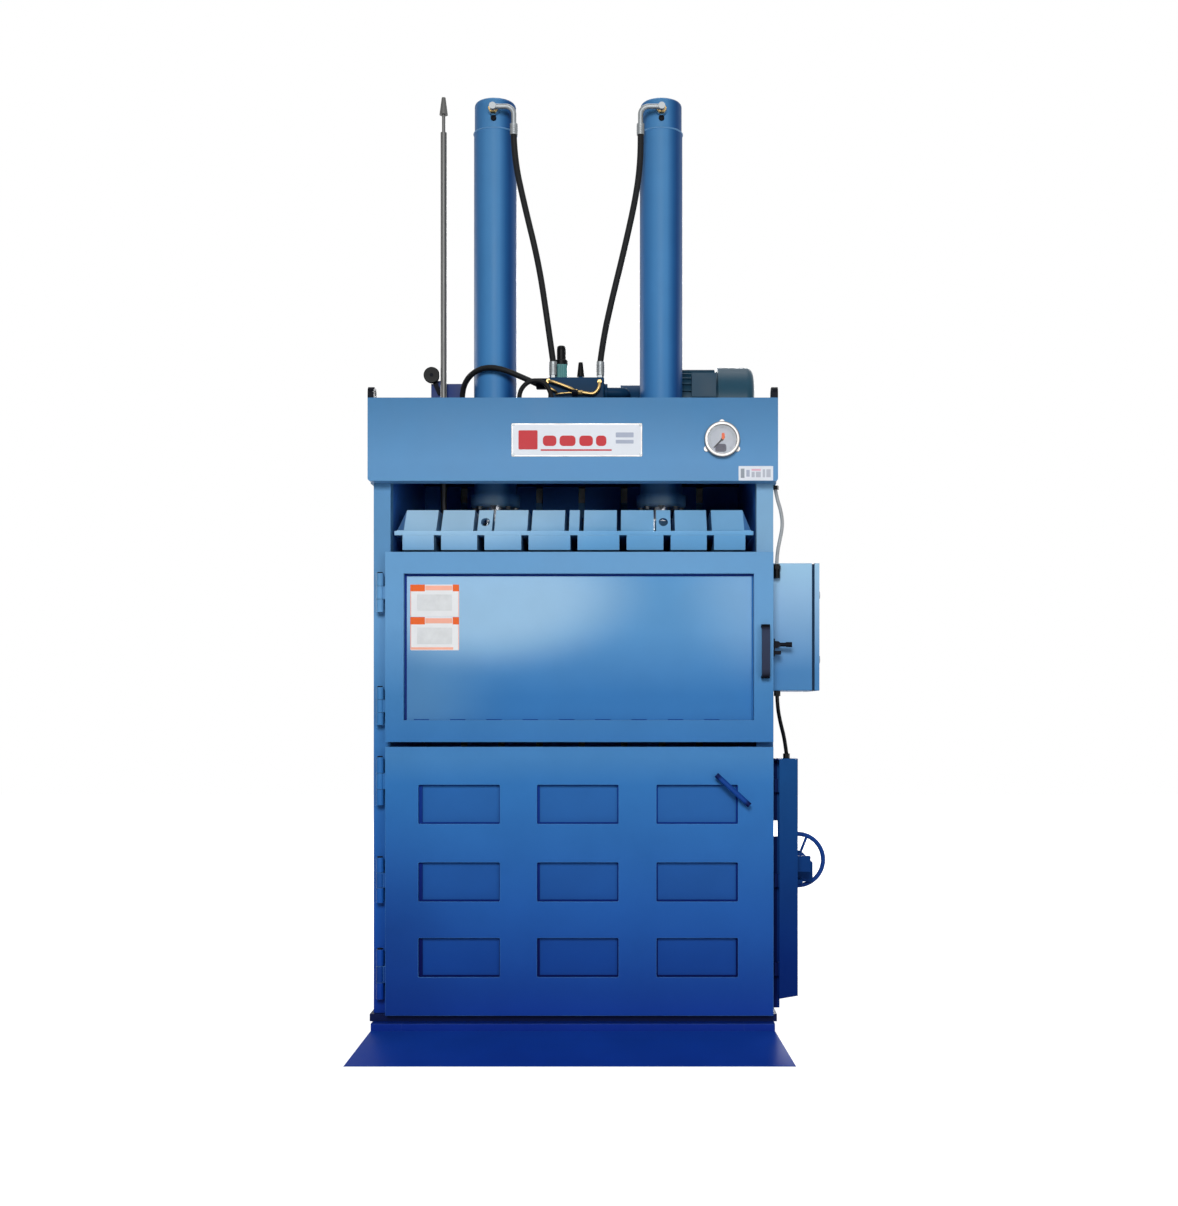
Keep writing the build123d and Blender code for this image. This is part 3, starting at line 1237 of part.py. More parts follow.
# Routes of the hoses and cables
head_fitting_z = 3110.0
head_hose_end_z = 2315.0
left_head_route = (
    (-222.0, hose_y, head_fitting_z),
    (-219.0, hose_y, 3024.0),
    (-187.0, hose_y, 2874.0),
    (-134.0, hose_y, 2659.0),
    (-102.0, hose_y, 2444.0),
    (-84.0, hose_y, head_hose_end_z),
)
right_head_route = (
    (222.0, hose_y, head_fitting_z),
    (223.0, hose_y, 3040.0),
    (209.0, hose_y, 2908.0),
    (166.0, hose_y, 2713.0),
    (121.0, hose_y, 2531.0),
    (92.0, hose_y, 2400.0),
    (81.0, hose_y, head_hose_end_z),
)
left_rod_route = (
    (-414.0, 0.0, 2172.0),
    (-415.0, -8.0, 2214.0),
    (-402.0, -38.0, 2258.0),
    (-368.0, -74.0, 2287.0),
    (-318.0, -104.0, 2299.0),
    (-262.0, -114.0, 2290.0),
    (-203.0, -112.0, 2266.0),
    (-140.0, -110.0, 2238.0),
)
right_rod_route = (
    (-84.0, -165.0, 2166.0),
    (-90.0, -165.0, 2204.0),
    (-118.0, -165.0, 2237.0),
    (-163.0, -165.0, 2239.0),
    (-196.0, -165.0, 2207.0),
    (-200.0, -166.0, 2160.0),
    (-172.0, -172.0, 2118.0),
    (-118.0, -182.0, 2096.0),
    (-48.0, -188.0, 2095.0),
    (28.0, -188.0, 2095.0),
    (98.0, -178.0, 2098.0),
    (149.0, -141.0, 2106.0),
    (173.0, -88.0, 2118.0),
    (178.0, -38.0, 2130.0),
)
conduit_route = (
    (667.0, -400.0, 1826.0),
    (672.0, -401.0, 1796.0),
    (685.0, -402.0, 1756.0),
    (691.0, -402.0, 1710.0),
    (682.0, -401.0, 1662.0),
    (673.0, -400.0, 1620.0),
    (671.0, -400.0, 1579.0),
)
cable_route = (
    (676.0, -362.0, 1143.0),
    (677.0, -367.0, 1105.0),
    (684.0, -399.0, 1052.0),
    (693.0, -446.0, 1000.0),
    (696.0, -470.0, 955.0),
)
head_pipe_diameter = 18.0
head_pipe_bend = 28.0
ferrule_length = 38.0
head_hex_height = 12.0
gland_body = 22.0
gland_nut_height = 16.0
conduit_gland_bottom_z = 1533.0


def ring_along_z(x, y, z_span, diameter):
    """Short hexagonal fitting that stands along Z."""
    face = Pos(x, y, z_span[0]) * RegularPolygon(diameter / 2, 6)
    return extrude(face, amount=z_span[1] - z_span[0], dir=(0, 0, 1))


def make_hoses():
    """Hoses and cables, with the fittings and glands that they come out of."""
    save("left_head_hose", route_tube(left_head_route, hose_diameter))
    save("right_head_hose", route_tube(right_head_route, hose_diameter))
    save("left_rod_hose", route_tube(left_rod_route, left_rod_hose_diameter))
    save("right_rod_hose", route_tube(right_rod_route, right_rod_hose_diameter))
    save("conduit", route_tube(conduit_route, conduit_diameter))
    save("lock_cable", route_tube(cable_route, cable_diameter))

    fittings = []
    boss_y = -cap_diameter / 2 - port_boss_length
    for side, route in ((-1, left_head_route), (1, right_head_route)):
        x = side * cylinder_x
        top_x = route[0][0]
        ferrule_z = (head_fitting_z, head_fitting_z + ferrule_length)
        pipe = FilletPolyline(
            (x, hose_y, head_port_z),
            (top_x, hose_y, head_port_z),
            (top_x, hose_y, ferrule_z[1]),
            radius=head_pipe_bend,
        )
        start = Plane(origin=(x, hose_y, head_port_z), z_dir=(-side, 0, 0))
        fitting = sweep(start * Circle(head_pipe_diameter / 2), path=pipe)
        fitting += rod_along_y(x, head_port_z, (hose_y - elbow_diameter / 2, boss_y), elbow_diameter)
        fitting += rod_along_z(top_x, hose_y, ferrule_z, ferrule_diameter)
        fittings.append(fitting)
        end_x = route[-1][0]
        hex_z = (block_top_z, block_top_z + head_hex_height)
        lower = ring_along_z(end_x, hose_y, hex_z, elbow_diameter)
        lower += rod_along_z(end_x, hose_y, (hex_z[1], head_hose_end_z), ferrule_diameter)
        fittings.append(lower)

    port_x = -cylinder_x - tube_radius - port_boss_length
    hose_x, hose_back_y, hose_low_z = left_rod_route[0]
    elbow = rod_along_x(0, rod_port_z, (hose_x - elbow_diameter / 2, port_x), elbow_diameter)
    ferrule_start_z = hose_low_z - ferrule_length / 2
    elbow += rod_along_z(hose_x, hose_back_y, (rod_port_z, ferrule_start_z), elbow_diameter)
    elbow += rod_along_z(hose_x, hose_back_y, (ferrule_start_z, hose_low_z), ferrule_diameter)
    fittings.append(elbow)
    hose_right_x, hose_front_y, hose_z = left_rod_route[-1]
    fittings.append(rod_along_x(hose_front_y, hose_z, (hose_right_x, block_left), ferrule_diameter))

    start_x, start_y, start_z = right_rod_route[0]
    front = rod_along_y(start_x, start_z - ferrule_length, (start_y, block_front_y), elbow_diameter)
    elbow_z = (start_z - ferrule_length - elbow_diameter / 2, start_z)
    front += rod_along_z(start_x, start_y, elbow_z, elbow_diameter)
    fittings.append(front)
    port_x = cylinder_x - tube_radius - port_boss_length
    end_x, end_y, end_z = right_rod_route[-1]
    elbow = rod_along_x(0, end_z, (end_x - elbow_diameter / 2, port_x), elbow_diameter)
    fittings.append(elbow + rod_along_y(end_x, end_z, (end_y, 0), elbow_branch_diameter))
    save("hose_fittings", *fittings)

    glands = []
    x, y, z = conduit_route[0]
    glands.append(ring_along_z(x, y, (z, crown_bottom_z), gland_body))
    x, y, z = conduit_route[-1]
    gland = rod_along_z(x, y, (conduit_gland_bottom_z, z), gland_body)
    gland += ring_along_z(x, y, (z - gland_nut_height, z - gland_nut_setback), gland_nut_diameter)
    middle_z = conduit_gland_bottom_z + gland_body / 2
    gland += rod_along_y(x, middle_z, (y, cabinet_front_y), gland_spigot_diameter)
    glands.append(gland)
    x, y, z = cable_route[0]
    glands.append(ring_along_z(x, y, (z, cabinet_bottom_z), gland_body))
    x, y, z = cable_route[-1]
    glands.append(ring_along_z(x, y, (cover_top_z, z), gland_body))
    save("cable_glands", *glands)


make_base()
make_body()
make_hinge_pins()
make_crown()
make_cylinders()
make_platen()
make_limit_switch()
make_power_pack()
make_feed_door()
make_bale_door()
make_latch()
make_lock()
make_cabinet()
make_gauge()
make_hoses()
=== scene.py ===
"""Looks of a recycling baler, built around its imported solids.

Everything is in metres in the solids' own frame: X to the right, Y to the
back, Z up, with the origin on the floor under the middle of the body.
"""

import logging
import math
from dataclasses import dataclass, replace
from enum import Enum
from functools import partial
from typing import Any, Callable, Iterable, Mapping, Sequence

import bmesh
import bpy
from mathutils import Matrix, Vector


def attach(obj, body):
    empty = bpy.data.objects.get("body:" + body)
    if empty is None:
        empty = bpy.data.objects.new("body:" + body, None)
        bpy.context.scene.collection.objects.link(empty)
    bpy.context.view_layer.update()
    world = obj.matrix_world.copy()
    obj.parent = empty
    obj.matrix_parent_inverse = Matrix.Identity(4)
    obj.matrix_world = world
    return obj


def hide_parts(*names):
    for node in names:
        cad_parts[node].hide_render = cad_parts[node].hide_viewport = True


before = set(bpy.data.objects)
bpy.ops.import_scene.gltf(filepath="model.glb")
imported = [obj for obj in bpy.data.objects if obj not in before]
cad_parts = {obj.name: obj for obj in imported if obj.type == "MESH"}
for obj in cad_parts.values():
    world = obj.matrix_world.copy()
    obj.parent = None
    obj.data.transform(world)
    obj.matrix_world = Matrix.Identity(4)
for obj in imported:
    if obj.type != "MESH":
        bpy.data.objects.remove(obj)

LOG = logging.getLogger("baler")
MM = 0.001
# A hexagon's corner radius as a share of its width across the flats
FLAT_TO_CORNER = 0.577
# Thickness of a printed field
INK = 0.0003
# The kinds of node that are wired most often
NOISE, MATH, VECTORS = "ShaderNodeTexNoise", "ShaderNodeMath", "ShaderNodeVectorMath"
MIX, RANGE, COMBINE = "ShaderNodeMix", "ShaderNodeMapRange", "ShaderNodeCombineXYZ"
Point = tuple[float, float, float]
Span = tuple[float, float]
Bands = tuple[tuple[float, str], ...]
Profile = tuple[Span, ...]
Sockets = Mapping[str, bpy.types.NodeSocket]
Adder = Callable[..., bpy.types.Node]


class Body(Enum):
    """The bodies of the frame that scene pieces ride on."""

    FRAME = "press_frame"
    PLATEN = "platen"
    FEED_DOOR = "feed_door"
    BALE_DOOR = "bale_door"
    CABINET_DOOR = "cabinet_door"
    LOCK_BAR = "lock_bar"


class Facing(Enum):
    """Which way a plate, screw head or print looks."""

    FRONT = (0.0, -1.0, 0.0)
    BACK = (0.0, 1.0, 0.0)
    RIGHT = (1.0, 0.0, 0.0)
    LEFT = (-1.0, 0.0, 0.0)
    UP = (0.0, 0.0, 1.0)
    DOWN = (0.0, 0.0, -1.0)


def linear(code: str) -> tuple[float, float, float, float]:
    """Turn an sRGB hex value into a linear colour.

    Args:
        code: Six hex digits with a leading hash sign.

    Returns:
        Red, green, blue and an alpha of one.
    """
    parts = [int(code[start:start + 2], 16) / 255 for start in (1, 3, 5)]
    red, green, blue = (p / 12.92 if p <= 0.04045 else ((p + 0.055) / 1.055) ** 2.4 for p in parts)
    return red, green, blue, 1.0


def wire(tree: bpy.types.NodeTree, kind: str, inputs: dict | None = None, **settings: Any) -> bpy.types.Node:
    """Add one node with its settings, and with its inputs as values or links.

    Args:
        tree: The shader or geometry tree that gets the node.
        kind: The node's type name.
        inputs: Input name or number to a value, to an output, or to a node whose first output feeds it.
        settings: The node's own properties.

    Returns:
        The new node.
    """
    node = tree.nodes.new(kind)
    for name, value in settings.items():
        setattr(node, name, value)
    for name, value in (inputs or {}).items():
        source = value.outputs[0] if isinstance(value, bpy.types.Node) else value
        if isinstance(source, bpy.types.NodeSocket):
            tree.links.new(source, node.inputs[name])
        else:
            node.inputs[name].default_value = source
    return node


# Finishes


@dataclass(frozen=True)
class Finish:
    """One real surface: its colour, its gloss, and its grain and mottle at real sizes.

    The grain is the fine relief that catches light, the mottle a slow change of tone over the surface, and
    the edge a thin rim along the edges, partly wear and partly a painted highlight.
    """

    name: str
    slot: str
    colour: str
    roughness: float = 0.45
    metallic: float = 0.0
    specular: float = 0.5
    grain_mm: float = 4.0
    grain_depth_mm: float = 0.05
    stretch: Point = (1.0, 1.0, 1.0)
    mottle_mm: float = 160.0
    mottle: float = 0.08
    edge_mm: float = 1.5
    edge_gain: float = 0.0
    edge_colour: str = "#ffffff"
    transmission: float = 0.0

    def material(self) -> bpy.types.Material:
        """The finished material, made once and then shared."""
        return bpy.data.materials.get(self.name) or self.wired()

    def paint(self, tree: bpy.types.NodeTree, place: bpy.types.NodeSocket) -> bpy.types.NodeSocket:
        """Wire the colour before mottle and the edge rim, in patches a little darker here and there.

        Args:
            tree: The material's tree.
            place: The object's coordinates.

        Returns:
            The colour.
        """
        patch_factor, darker = 3.0, 0.94
        tone = wire(tree, NOISE, {"Vector": place, "Scale": 1 / (self.mottle_mm * MM * patch_factor)})
        near = linear(self.colour)
        far = tuple(channel * darker for channel in near[:3]) + (1.0,)
        return wire(tree, MIX, {0: tone, 6: near, 7: far}, data_type="RGBA").outputs[2]

    def worn(self, tree: bpy.types.NodeTree, colour: bpy.types.NodeSocket, rounded: bpy.types.Node,
             slow: bpy.types.Node) -> bpy.types.NodeSocket:
        """Wire the rim along the edges, found where the softened normal leaves the flat one: partly wear and
        partly a painted highlight.

        Args:
            tree: The material's tree.
            colour: The colour away from the edges.
            rounded: The softened normal.
            slow: The mottle's noise, which breaks the rim up.

        Returns:
            The colour with its rim.
        """
        rim_starts, rim_full = 0.995, 0.86
        flat = wire(tree, "ShaderNodeNewGeometry").outputs["Normal"]
        turn = wire(tree, VECTORS, {0: rounded, 1: flat}, operation="DOT_PRODUCT").outputs["Value"]
        rim = wire(tree, RANGE, {"Value": turn, "From Min": rim_starts, "From Max": rim_full,
                                 "To Min": 0.0, "To Max": self.edge_gain})
        chip = wire(tree, MATH, {0: rim, 1: slow}, operation="MULTIPLY")
        rimmed = wire(tree, MIX, {0: chip, 6: colour, 7: linear(self.edge_colour)}, data_type="RGBA")
        return rimmed.outputs[2]

    def wired(self) -> bpy.types.Material:
        """Make the material and wire its colour, gloss and relief.

        Returns:
            The new material.
        """
        gloss_spread = 0.12
        noise_range = {"From Min": 0.3, "From Max": 0.7}
        material = bpy.data.materials.new(self.name)
        material.use_nodes = True
        tree = material.node_tree
        tree.nodes.clear()
        add = partial(wire, tree)
        place = add("ShaderNodeTexCoord").outputs["Object"]
        slow = add(NOISE, {"Vector": place, "Scale": 1 / (self.mottle_mm * MM), "Detail": 4.0})
        shade = add(RANGE, {"Value": slow, "To Min": 1.0 - self.mottle,
                            "To Max": 1.0 + self.mottle} | noise_range)
        colour = add(MIX, {0: 1.0, 6: self.paint(tree, place), 7: shade}, data_type="RGBA",
                     blend_type="MULTIPLY").outputs[2]
        rounded = add("ShaderNodeBevel", {"Radius": self.edge_mm * MM}, samples=4)
        if self.edge_gain > 0:
            colour = self.worn(tree, colour, rounded, slow)
        stretched = add("ShaderNodeMapping", {"Vector": place, "Scale": self.stretch})
        fine = add(NOISE, {"Vector": stretched, "Scale": 1 / (self.grain_mm * MM), "Detail": 2.0})
        bump = add("ShaderNodeBump", {"Strength": 1.0, "Distance": self.grain_depth_mm * MM,
                                      "Height": fine, "Normal": rounded})
        gloss = add(RANGE, {"Value": slow, "To Min": self.roughness * (1 - gloss_spread),
                            "To Max": self.roughness * (1 + gloss_spread)} | noise_range)
        shader = add("ShaderNodeBsdfPrincipled", {
            "Base Color": colour, "Roughness": gloss, "Normal": bump, "Metallic": self.metallic,
            "Specular IOR Level": self.specular, "Transmission Weight": self.transmission,
        })
        add("ShaderNodeOutputMaterial", {"Surface": shader})
        return material


@dataclass(frozen=True)
class Bloom:
    """A soft patch of another tone painted in a coat of enamel: a painted highlight where it is paler,
    painted shade where it is darker.

    Distances from its centre count fully along X and by the two weights along
    Y and Z. The tone is strongest within the near distance and gone at the far one.
    """

    centre: Point
    weights: Span
    reach: Span
    colour: str
    most: float


# The coat's blue at each height in metres, with painted shade: deep blue at the floor and paler at the
# platen, as the light falls from above
BLUE = (
    (0.0, "#021d72"), (0.15, "#07328d"), (0.47, "#1650a0"), (0.88, "#2b69a9"), (1.15, "#3d78ae"),
    (1.38, "#6095c4"), (1.79, "#6194bf"), (2.37, "#4680b3"), (3.10, "#4c80ae"),
)


@dataclass(frozen=True)
class Enamel(Finish):
    """Two-pack enamel sprayed on welded steel.

    Its colour is painted in bands by height in place of the one colour: paler high up and deep blue towards
    the floor, a painted shade that stands in for the light falling from above.
    """

    slot: str = "enamel"
    colour: str = "#5a8dba"
    specular: float = 0.08
    grain_mm: float = 5.0
    grain_depth_mm: float = 0.06
    mottle: float = 0.05
    edge_mm: float = 2.5
    bands: Bands = BLUE
    blooms: tuple[Bloom, ...] = ()
    tube: Span = (0.0, 0.0)
    round_tones: Bands = ()
    inside: str = ""
    inside_half_x: float = 0.604
    inside_rear_y: float = 0.395
    top_z: float = 3.3

    def paint(self, tree: bpy.types.NodeTree, place: bpy.types.NodeSocket) -> bpy.types.NodeSocket:
        """Wire the blue of the coat at each height, which is painted shade by height, with its painted
        highlights and painted shade patches where they are set.

        Args:
            tree: The material's tree.
            place: The object's coordinates.

        Returns:
            The colour.
        """
        drift_scale, drift_depth, drift_mean = 1.6, 0.06, 0.03
        axes = wire(tree, "ShaderNodeSeparateXYZ", {0: place}).outputs
        drift = wire(tree, NOISE, {"Vector": place, "Scale": drift_scale, "Detail": 2.0})
        shift = wire(tree, MATH, {0: drift, 1: drift_depth, 2: axes["Z"]}, operation="MULTIPLY_ADD")
        height = wire(tree, RANGE, {"Value": shift, "From Min": drift_mean,
                                    "From Max": self.top_z + drift_mean})
        colour = self.ramp(tree, height, [(z / self.top_z, code) for z, code in self.bands])
        if self.inside:
            return self.shaded_inside(tree, axes, colour)
        if self.round_tones:
            return self.rounded(tree, axes["X"], colour)
        for bloom in self.blooms:
            scale = Vector((1.0, *bloom.weights))
            flat = wire(tree, VECTORS, {0: place, 1: scale}, operation="MULTIPLY")
            away = wire(tree, VECTORS, {0: flat, 1: Vector(bloom.centre) * scale}, operation="DISTANCE")
            amount = wire(tree, RANGE, {
                "Value": away.outputs["Value"], "From Min": bloom.reach[0], "From Max": bloom.reach[1],
                "To Min": bloom.most, "To Max": 0.0,
            }, interpolation_type="SMOOTHERSTEP")
            mixed = wire(tree, MIX, {0: amount, 6: colour, 7: linear(bloom.colour)}, data_type="RGBA")
            colour = mixed.outputs[2]
        return colour

    def ramp(self, tree: bpy.types.NodeTree, value: bpy.types.Node, marks: Sequence[tuple[float, str]]
             ) -> bpy.types.NodeSocket:
        """Wire a ramp of colours along a value that runs from zero to one.

        Args:
            tree: The material's tree.
            value: The node that gives the value.
            marks: Positions and the hex value at each.

        Returns:
            The colour.
        """
        node = wire(tree, "ShaderNodeValToRGB", {"Fac": value})
        stops = node.color_ramp.elements
        for index, (position, code) in enumerate(marks):
            stop = stops[index] if index < 2 else stops.new(position)
            stop.position = position
            stop.color = linear(code)
        return node.outputs["Color"]

    def rounded(self, tree: bpy.types.NodeTree, x: bpy.types.NodeSocket,
                colour: bpy.types.NodeSocket) -> bpy.types.NodeSocket:
        """Wire painted shade round the sides of an upright tube, darker towards its sides and most on its
        right.

        Args:
            tree: The material's tree.
            x: The object's X coordinate.
            colour: The coat's colour by height.

        Returns:
            The colour round the tube.
        """
        axis, radius = self.tube
        side = wire(tree, MATH, {0: x}, operation="SIGN")
        offset = wire(tree, MATH, {0: side, 1: -axis, 2: x}, operation="MULTIPLY_ADD")
        across = wire(tree, RANGE, {"Value": offset, "From Min": -radius, "From Max": radius})
        tone = self.ramp(tree, across, self.round_tones)
        shaded = wire(tree, MIX, {0: 1.0, 6: colour, 7: tone}, data_type="RGBA", blend_type="MULTIPLY")
        return shaded.outputs[2]

    def shaded_inside(self, tree: bpy.types.NodeTree, axes: Sockets,
                      outside: bpy.types.NodeSocket) -> bpy.types.NodeSocket:
        """Wire one even blue coat inside the chamber, in place of the painted shade by height outside.

        Args:
            tree: The material's tree.
            axes: The object's X, Y and Z coordinates by name.
            outside: The coat's colour outside.

        Returns:
            The colour inside and out.
        """
        across = wire(tree, MATH, {0: axes["X"]}, operation="ABSOLUTE")
        beside = wire(tree, MATH, {0: across, 1: self.inside_half_x}, operation="LESS_THAN")
        before = wire(tree, MATH, {0: axes["Y"], 1: self.inside_rear_y}, operation="LESS_THAN")
        within = wire(tree, MATH, {0: beside, 1: before}, operation="MULTIPLY")
        return wire(tree, MIX, {0: within, 6: outside, 7: linear(self.inside)}, data_type="RGBA").outputs[2]


@dataclass(frozen=True)
class Moulding(Finish):
    """Moulded plastic: an even skin with a fine spark-eroded grain."""

    grain_mm: float = 1.0
    grain_depth_mm: float = 0.01
    mottle_mm: float = 30.0
    mottle: float = 0.05
    edge_mm: float = 0.8


@dataclass(frozen=True)
class Print(Finish):
    """Ink or a printed film: flat, nearly even and almost without gloss."""

    specular: float = 0.1
    grain_depth_mm: float = 0.0
    mottle: float = 0.05
    edge_mm: float = 0.3


# Enamel has a soft wet-looking gloss, a fine orange-peel skin of a few millimetres, painted shade by height
# and paler rims as painted highlights along its edges
ENAMEL = Enamel("sprayed_enamel", roughness=0.42, mottle=0.035, edge_gain=0.35, edge_colour="#8fb9da")
# Posts: a painted highlight high on the right post, and painted shade high on the left post
POST = replace(ENAMEL, name="sprayed_enamel_posts", blooms=(
    Bloom((0.63, -0.45, 1.78), (0.0, 1.0), (0.10, 0.42), "#86abc4", 0.5),
    Bloom((-0.66, -0.45, 1.72), (0.0, 0.6), (0.02, 0.26), "#4f82ae", 0.7)))
# Cylinders: painted shade round each tube, darker towards its sides and most on its right, and a painted
# highlight in the pale band below 1.835 m on the gland
BARREL = Enamel("sprayed_enamel_on_tube", roughness=0.42, mottle=0.035, tube=(0.296, 0.0765),
                bands=((0.0, "#b9dcf2"), (1.835, "#b9dcf2"), (1.86, "#5f95c5"), (2.0, "#4680b3")) + BLUE[-2:],
                round_tones=((0.0, "#a0bcd4"), (0.17, "#cbe0ef"), (0.33, "#f2f9fe"), (0.5, "#ffffff"),
                             (0.63, "#f2f9fe"), (0.775, "#8bb1cd"), (0.86, "#6188ae"), (1.0, "#86abc8")))
# Feed panel: painted highlights in soft pale patches, the broadest at its upper left, over painted shade by
# height
PANEL = replace(ENAMEL, name="sprayed_enamel_panel", roughness=0.38, mottle=0.03,
                bands=((0.0, "#2f6ea9"), (1.14, "#2f6fac"), (1.36, "#508bbe"), (1.50, "#528cbc")), blooms=(
                    Bloom((-0.60, -0.486, 1.15), (25.0, 1.0), (0.05, 0.45), "#5181ab", 0.7),
                    Bloom((-0.30, -0.486, 1.48), (25.0, 2.1), (0.18, 0.64), "#90b7d6", 1.0),
                    Bloom((0.66, -0.486, 1.50), (25.0, 1.0), (0.05, 0.40), "#8fb5d6", 0.45)))
# Bale-door face: painted shade by height, darkest at the floor, a patch of painted shade at its lower left,
# and pale rims round its windows as painted highlights
FACE = Enamel("sprayed_enamel_windowed", roughness=0.4, mottle=0.04, edge_mm=3.5, edge_gain=1.0,
              edge_colour="#5f9ad4", bands=((0.0, "#06298a"), (0.19, "#0e3c8c"), (0.45, "#1c549f"),
                                            (0.85, "#2d6dad"), (0.94, "#3f7ab2")),
              blooms=(Bloom((-0.66, -0.510, 0.20), (0.0, 0.7), (0.05, 0.50), "#052b72", 0.55),))
# Platen: lighter towards its top as painted light, with a painted highlight on its left part and pale rims as
# painted highlights
PALE = Enamel("sprayed_enamel_pale", edge_gain=0.5, edge_colour="#c4deee",
              bands=((0.0, "#5f9bc8"), (1.63, "#5896c6"), (1.68, "#609dcc"), (1.70, "#78aed8"),
                     (1.80, "#7fb5dd")),
              blooms=(Bloom((-0.42, 0.0, 1.80), (0.0, 3.0), (0.10, 0.80), "#b0d2e8", 0.75),))
# Ribs: as the platen, with painted shade in a dark strip at the outer end of each end rib
RIBS = replace(PALE, name="sprayed_enamel_ribs", blooms=PALE.blooms + (
    Bloom((-0.585, 0.0, 0.0), (0.0, 0.0), (0.0205, 0.0235), "#264f80", 0.9),
    Bloom((0.585, 0.0, 0.0), (0.0, 0.0), (0.0205, 0.0235), "#2c5a92", 0.85)))
# Fascia: darker towards its top as painted shade, with pale rims as painted highlights
FASCIA = Enamel("sprayed_enamel_fascia", roughness=0.42, specular=0.06, mottle=0.03, edge_gain=0.3,
                edge_colour="#86b4dc", bands=((0.0, "#598bba"), (1.91, "#5a8cb9"), (2.10, "#4578a4")))
# Cabinet: lighter towards its top as painted light, with pale rims as painted highlights
CABINET = Enamel("sprayed_enamel_cabinet", roughness=0.4, grain_mm=4.0, grain_depth_mm=0.05, mottle=0.03,
                 edge_mm=2.0, edge_gain=0.4, edge_colour="#b4d4ea",
                 bands=((0.0, "#407bae"), (1.22, "#447db1"), (1.48, "#8cb4d6"), (1.60, "#97c0db")))
# Ramp: an even deep blue, a painted shade at the floor, with paler rims as painted highlights
RAMP = Enamel("sprayed_enamel_ramp", roughness=0.42, mottle=0.06, edge_gain=0.35, edge_colour="#3c6bb4",
              bands=((0.0, "#103794"), (0.04, "#123c98"), (0.30, "#123c98")))
WALLS = Enamel("sprayed_enamel_chamber", roughness=0.5, grain_depth_mm=0.08, mottle=0.06, inside="#3870c0")
# Darker copies of the enamel, as painted shade for parts that lie in shadow, uneven in tone
DEEP = Enamel("sprayed_enamel_deep", "enamel_dark", roughness=0.5, grain_depth_mm=0.08, mottle=0.08,
              edge_gain=0.3, edge_colour="#4d7fb0",
              bands=((0.0, "#082a70"), (0.9, "#134088"), (1.9, "#1b4a80"), (3.2, "#1b4a80")))
NAVY = replace(DEEP, name="sprayed_enamel_navy", edge_gain=0.2, edge_colour="#1f4484",
               bands=((0.0, "#02103c"), (0.5, "#041548"), (1.8, "#0a2d80"), (2.3, "#0a2d80")))
# Bale-door handle: a darker copy of the enamel as painted shade, darkest at both ends where the bar meets the
# door
BAR = replace(DEEP, name="sprayed_enamel_bar", edge_mm=2.0, edge_gain=0.5, edge_colour="#2f68b4",
              bands=((0.0, "#0c327c"), (0.9, "#123e88"), (1.0, "#123e88")), blooms=(
                  Bloom((0.463, 0.0, 0.888), (0.0, 1.0), (0.006, 0.026), "#02093a", 0.9),
                  Bloom((0.570, 0.0, 0.790), (0.0, 1.0), (0.006, 0.026), "#02093a", 0.95)))
# Window trays: darker than the door's face, as painted shade in the recesses, and darker towards the floor
TRAY = Enamel("sprayed_enamel_trays", "enamel_dark", edge_mm=1.5, edge_gain=0.1, edge_colour="#4d7fb0",
              bands=((0.0, "#04297c"), (0.30, "#0c3e8b"), (1.0, "#2866a6")))
# Lock: dark and darker towards the floor as painted shade, with a painted shadow line along X 0.655
LOCK = Enamel("sprayed_enamel_lock", "enamel_dark", specular=0.04, edge_mm=2.0, edge_gain=0.2,
              edge_colour="#2f5f9c", bands=((0.0, "#001856"), (0.30, "#012265"), (0.87, "#104279")),
              blooms=(Bloom((0.655, 0.0, 0.0), (0.0, 0.0), (0.0125, 0.0155), "#020d42", 0.9),))
# Painted shadow: dark strips round each window's tray, deepest towards the floor
SEAM = Enamel("unsprayed_corners", "enamel_dark", roughness=0.55, specular=0.05, mottle=0.1, edge_mm=0.6,
              bands=((0.0, "#01073f"), (0.30, "#010b48"), (0.60, "#06206a"), (0.87, "#0b3382")))
# Weld metal under paint is rippled and a little glossier than the sheet beside it
WELD = Enamel("painted_weld", roughness=0.34, specular=0.3, grain_mm=2.0, grain_depth_mm=0.1, mottle=0.06,
              edge_mm=0.5)
# Galvanised sheet is dull and spangled
GALVANISED = Finish("galvanised_sheet", "bright_steel", "#7e8488", roughness=0.5, metallic=0.6, grain_mm=12.0,
                    grain_depth_mm=0.02, mottle_mm=25.0, mottle=0.14, edge_mm=0.6)
# Hard chrome is ground and polished round the rod, so its fine lines run across its length
CHROME = Finish("hard_chrome", "chrome", "#c9cdd2", roughness=0.22, metallic=1.0, grain_mm=30.0,
                grain_depth_mm=0.02, stretch=(1.0, 1.0, 60.0), mottle=0.03, edge_mm=0.8)
# Zinc-plated steel is a dull silver with a faint grain from rolling
ZINC = Finish("zinc_plated_steel", "bright_steel", "#7f8385", roughness=0.5, metallic=1.0, grain_mm=1.5,
              grain_depth_mm=0.03, mottle_mm=40.0, mottle=0.12, edge_mm=0.6, edge_gain=0.4)
# Drawn bar left bare has gone grey-brown with oil
BARE_BAR = Finish("oiled_bar_steel", "bright_steel", "#5c5c5b", roughness=0.5, metallic=0.85, grain_mm=14.0,
                  grain_depth_mm=0.012, stretch=(6.0, 6.0, 1.0), mottle_mm=90.0, mottle=0.06, edge_mm=0.6)
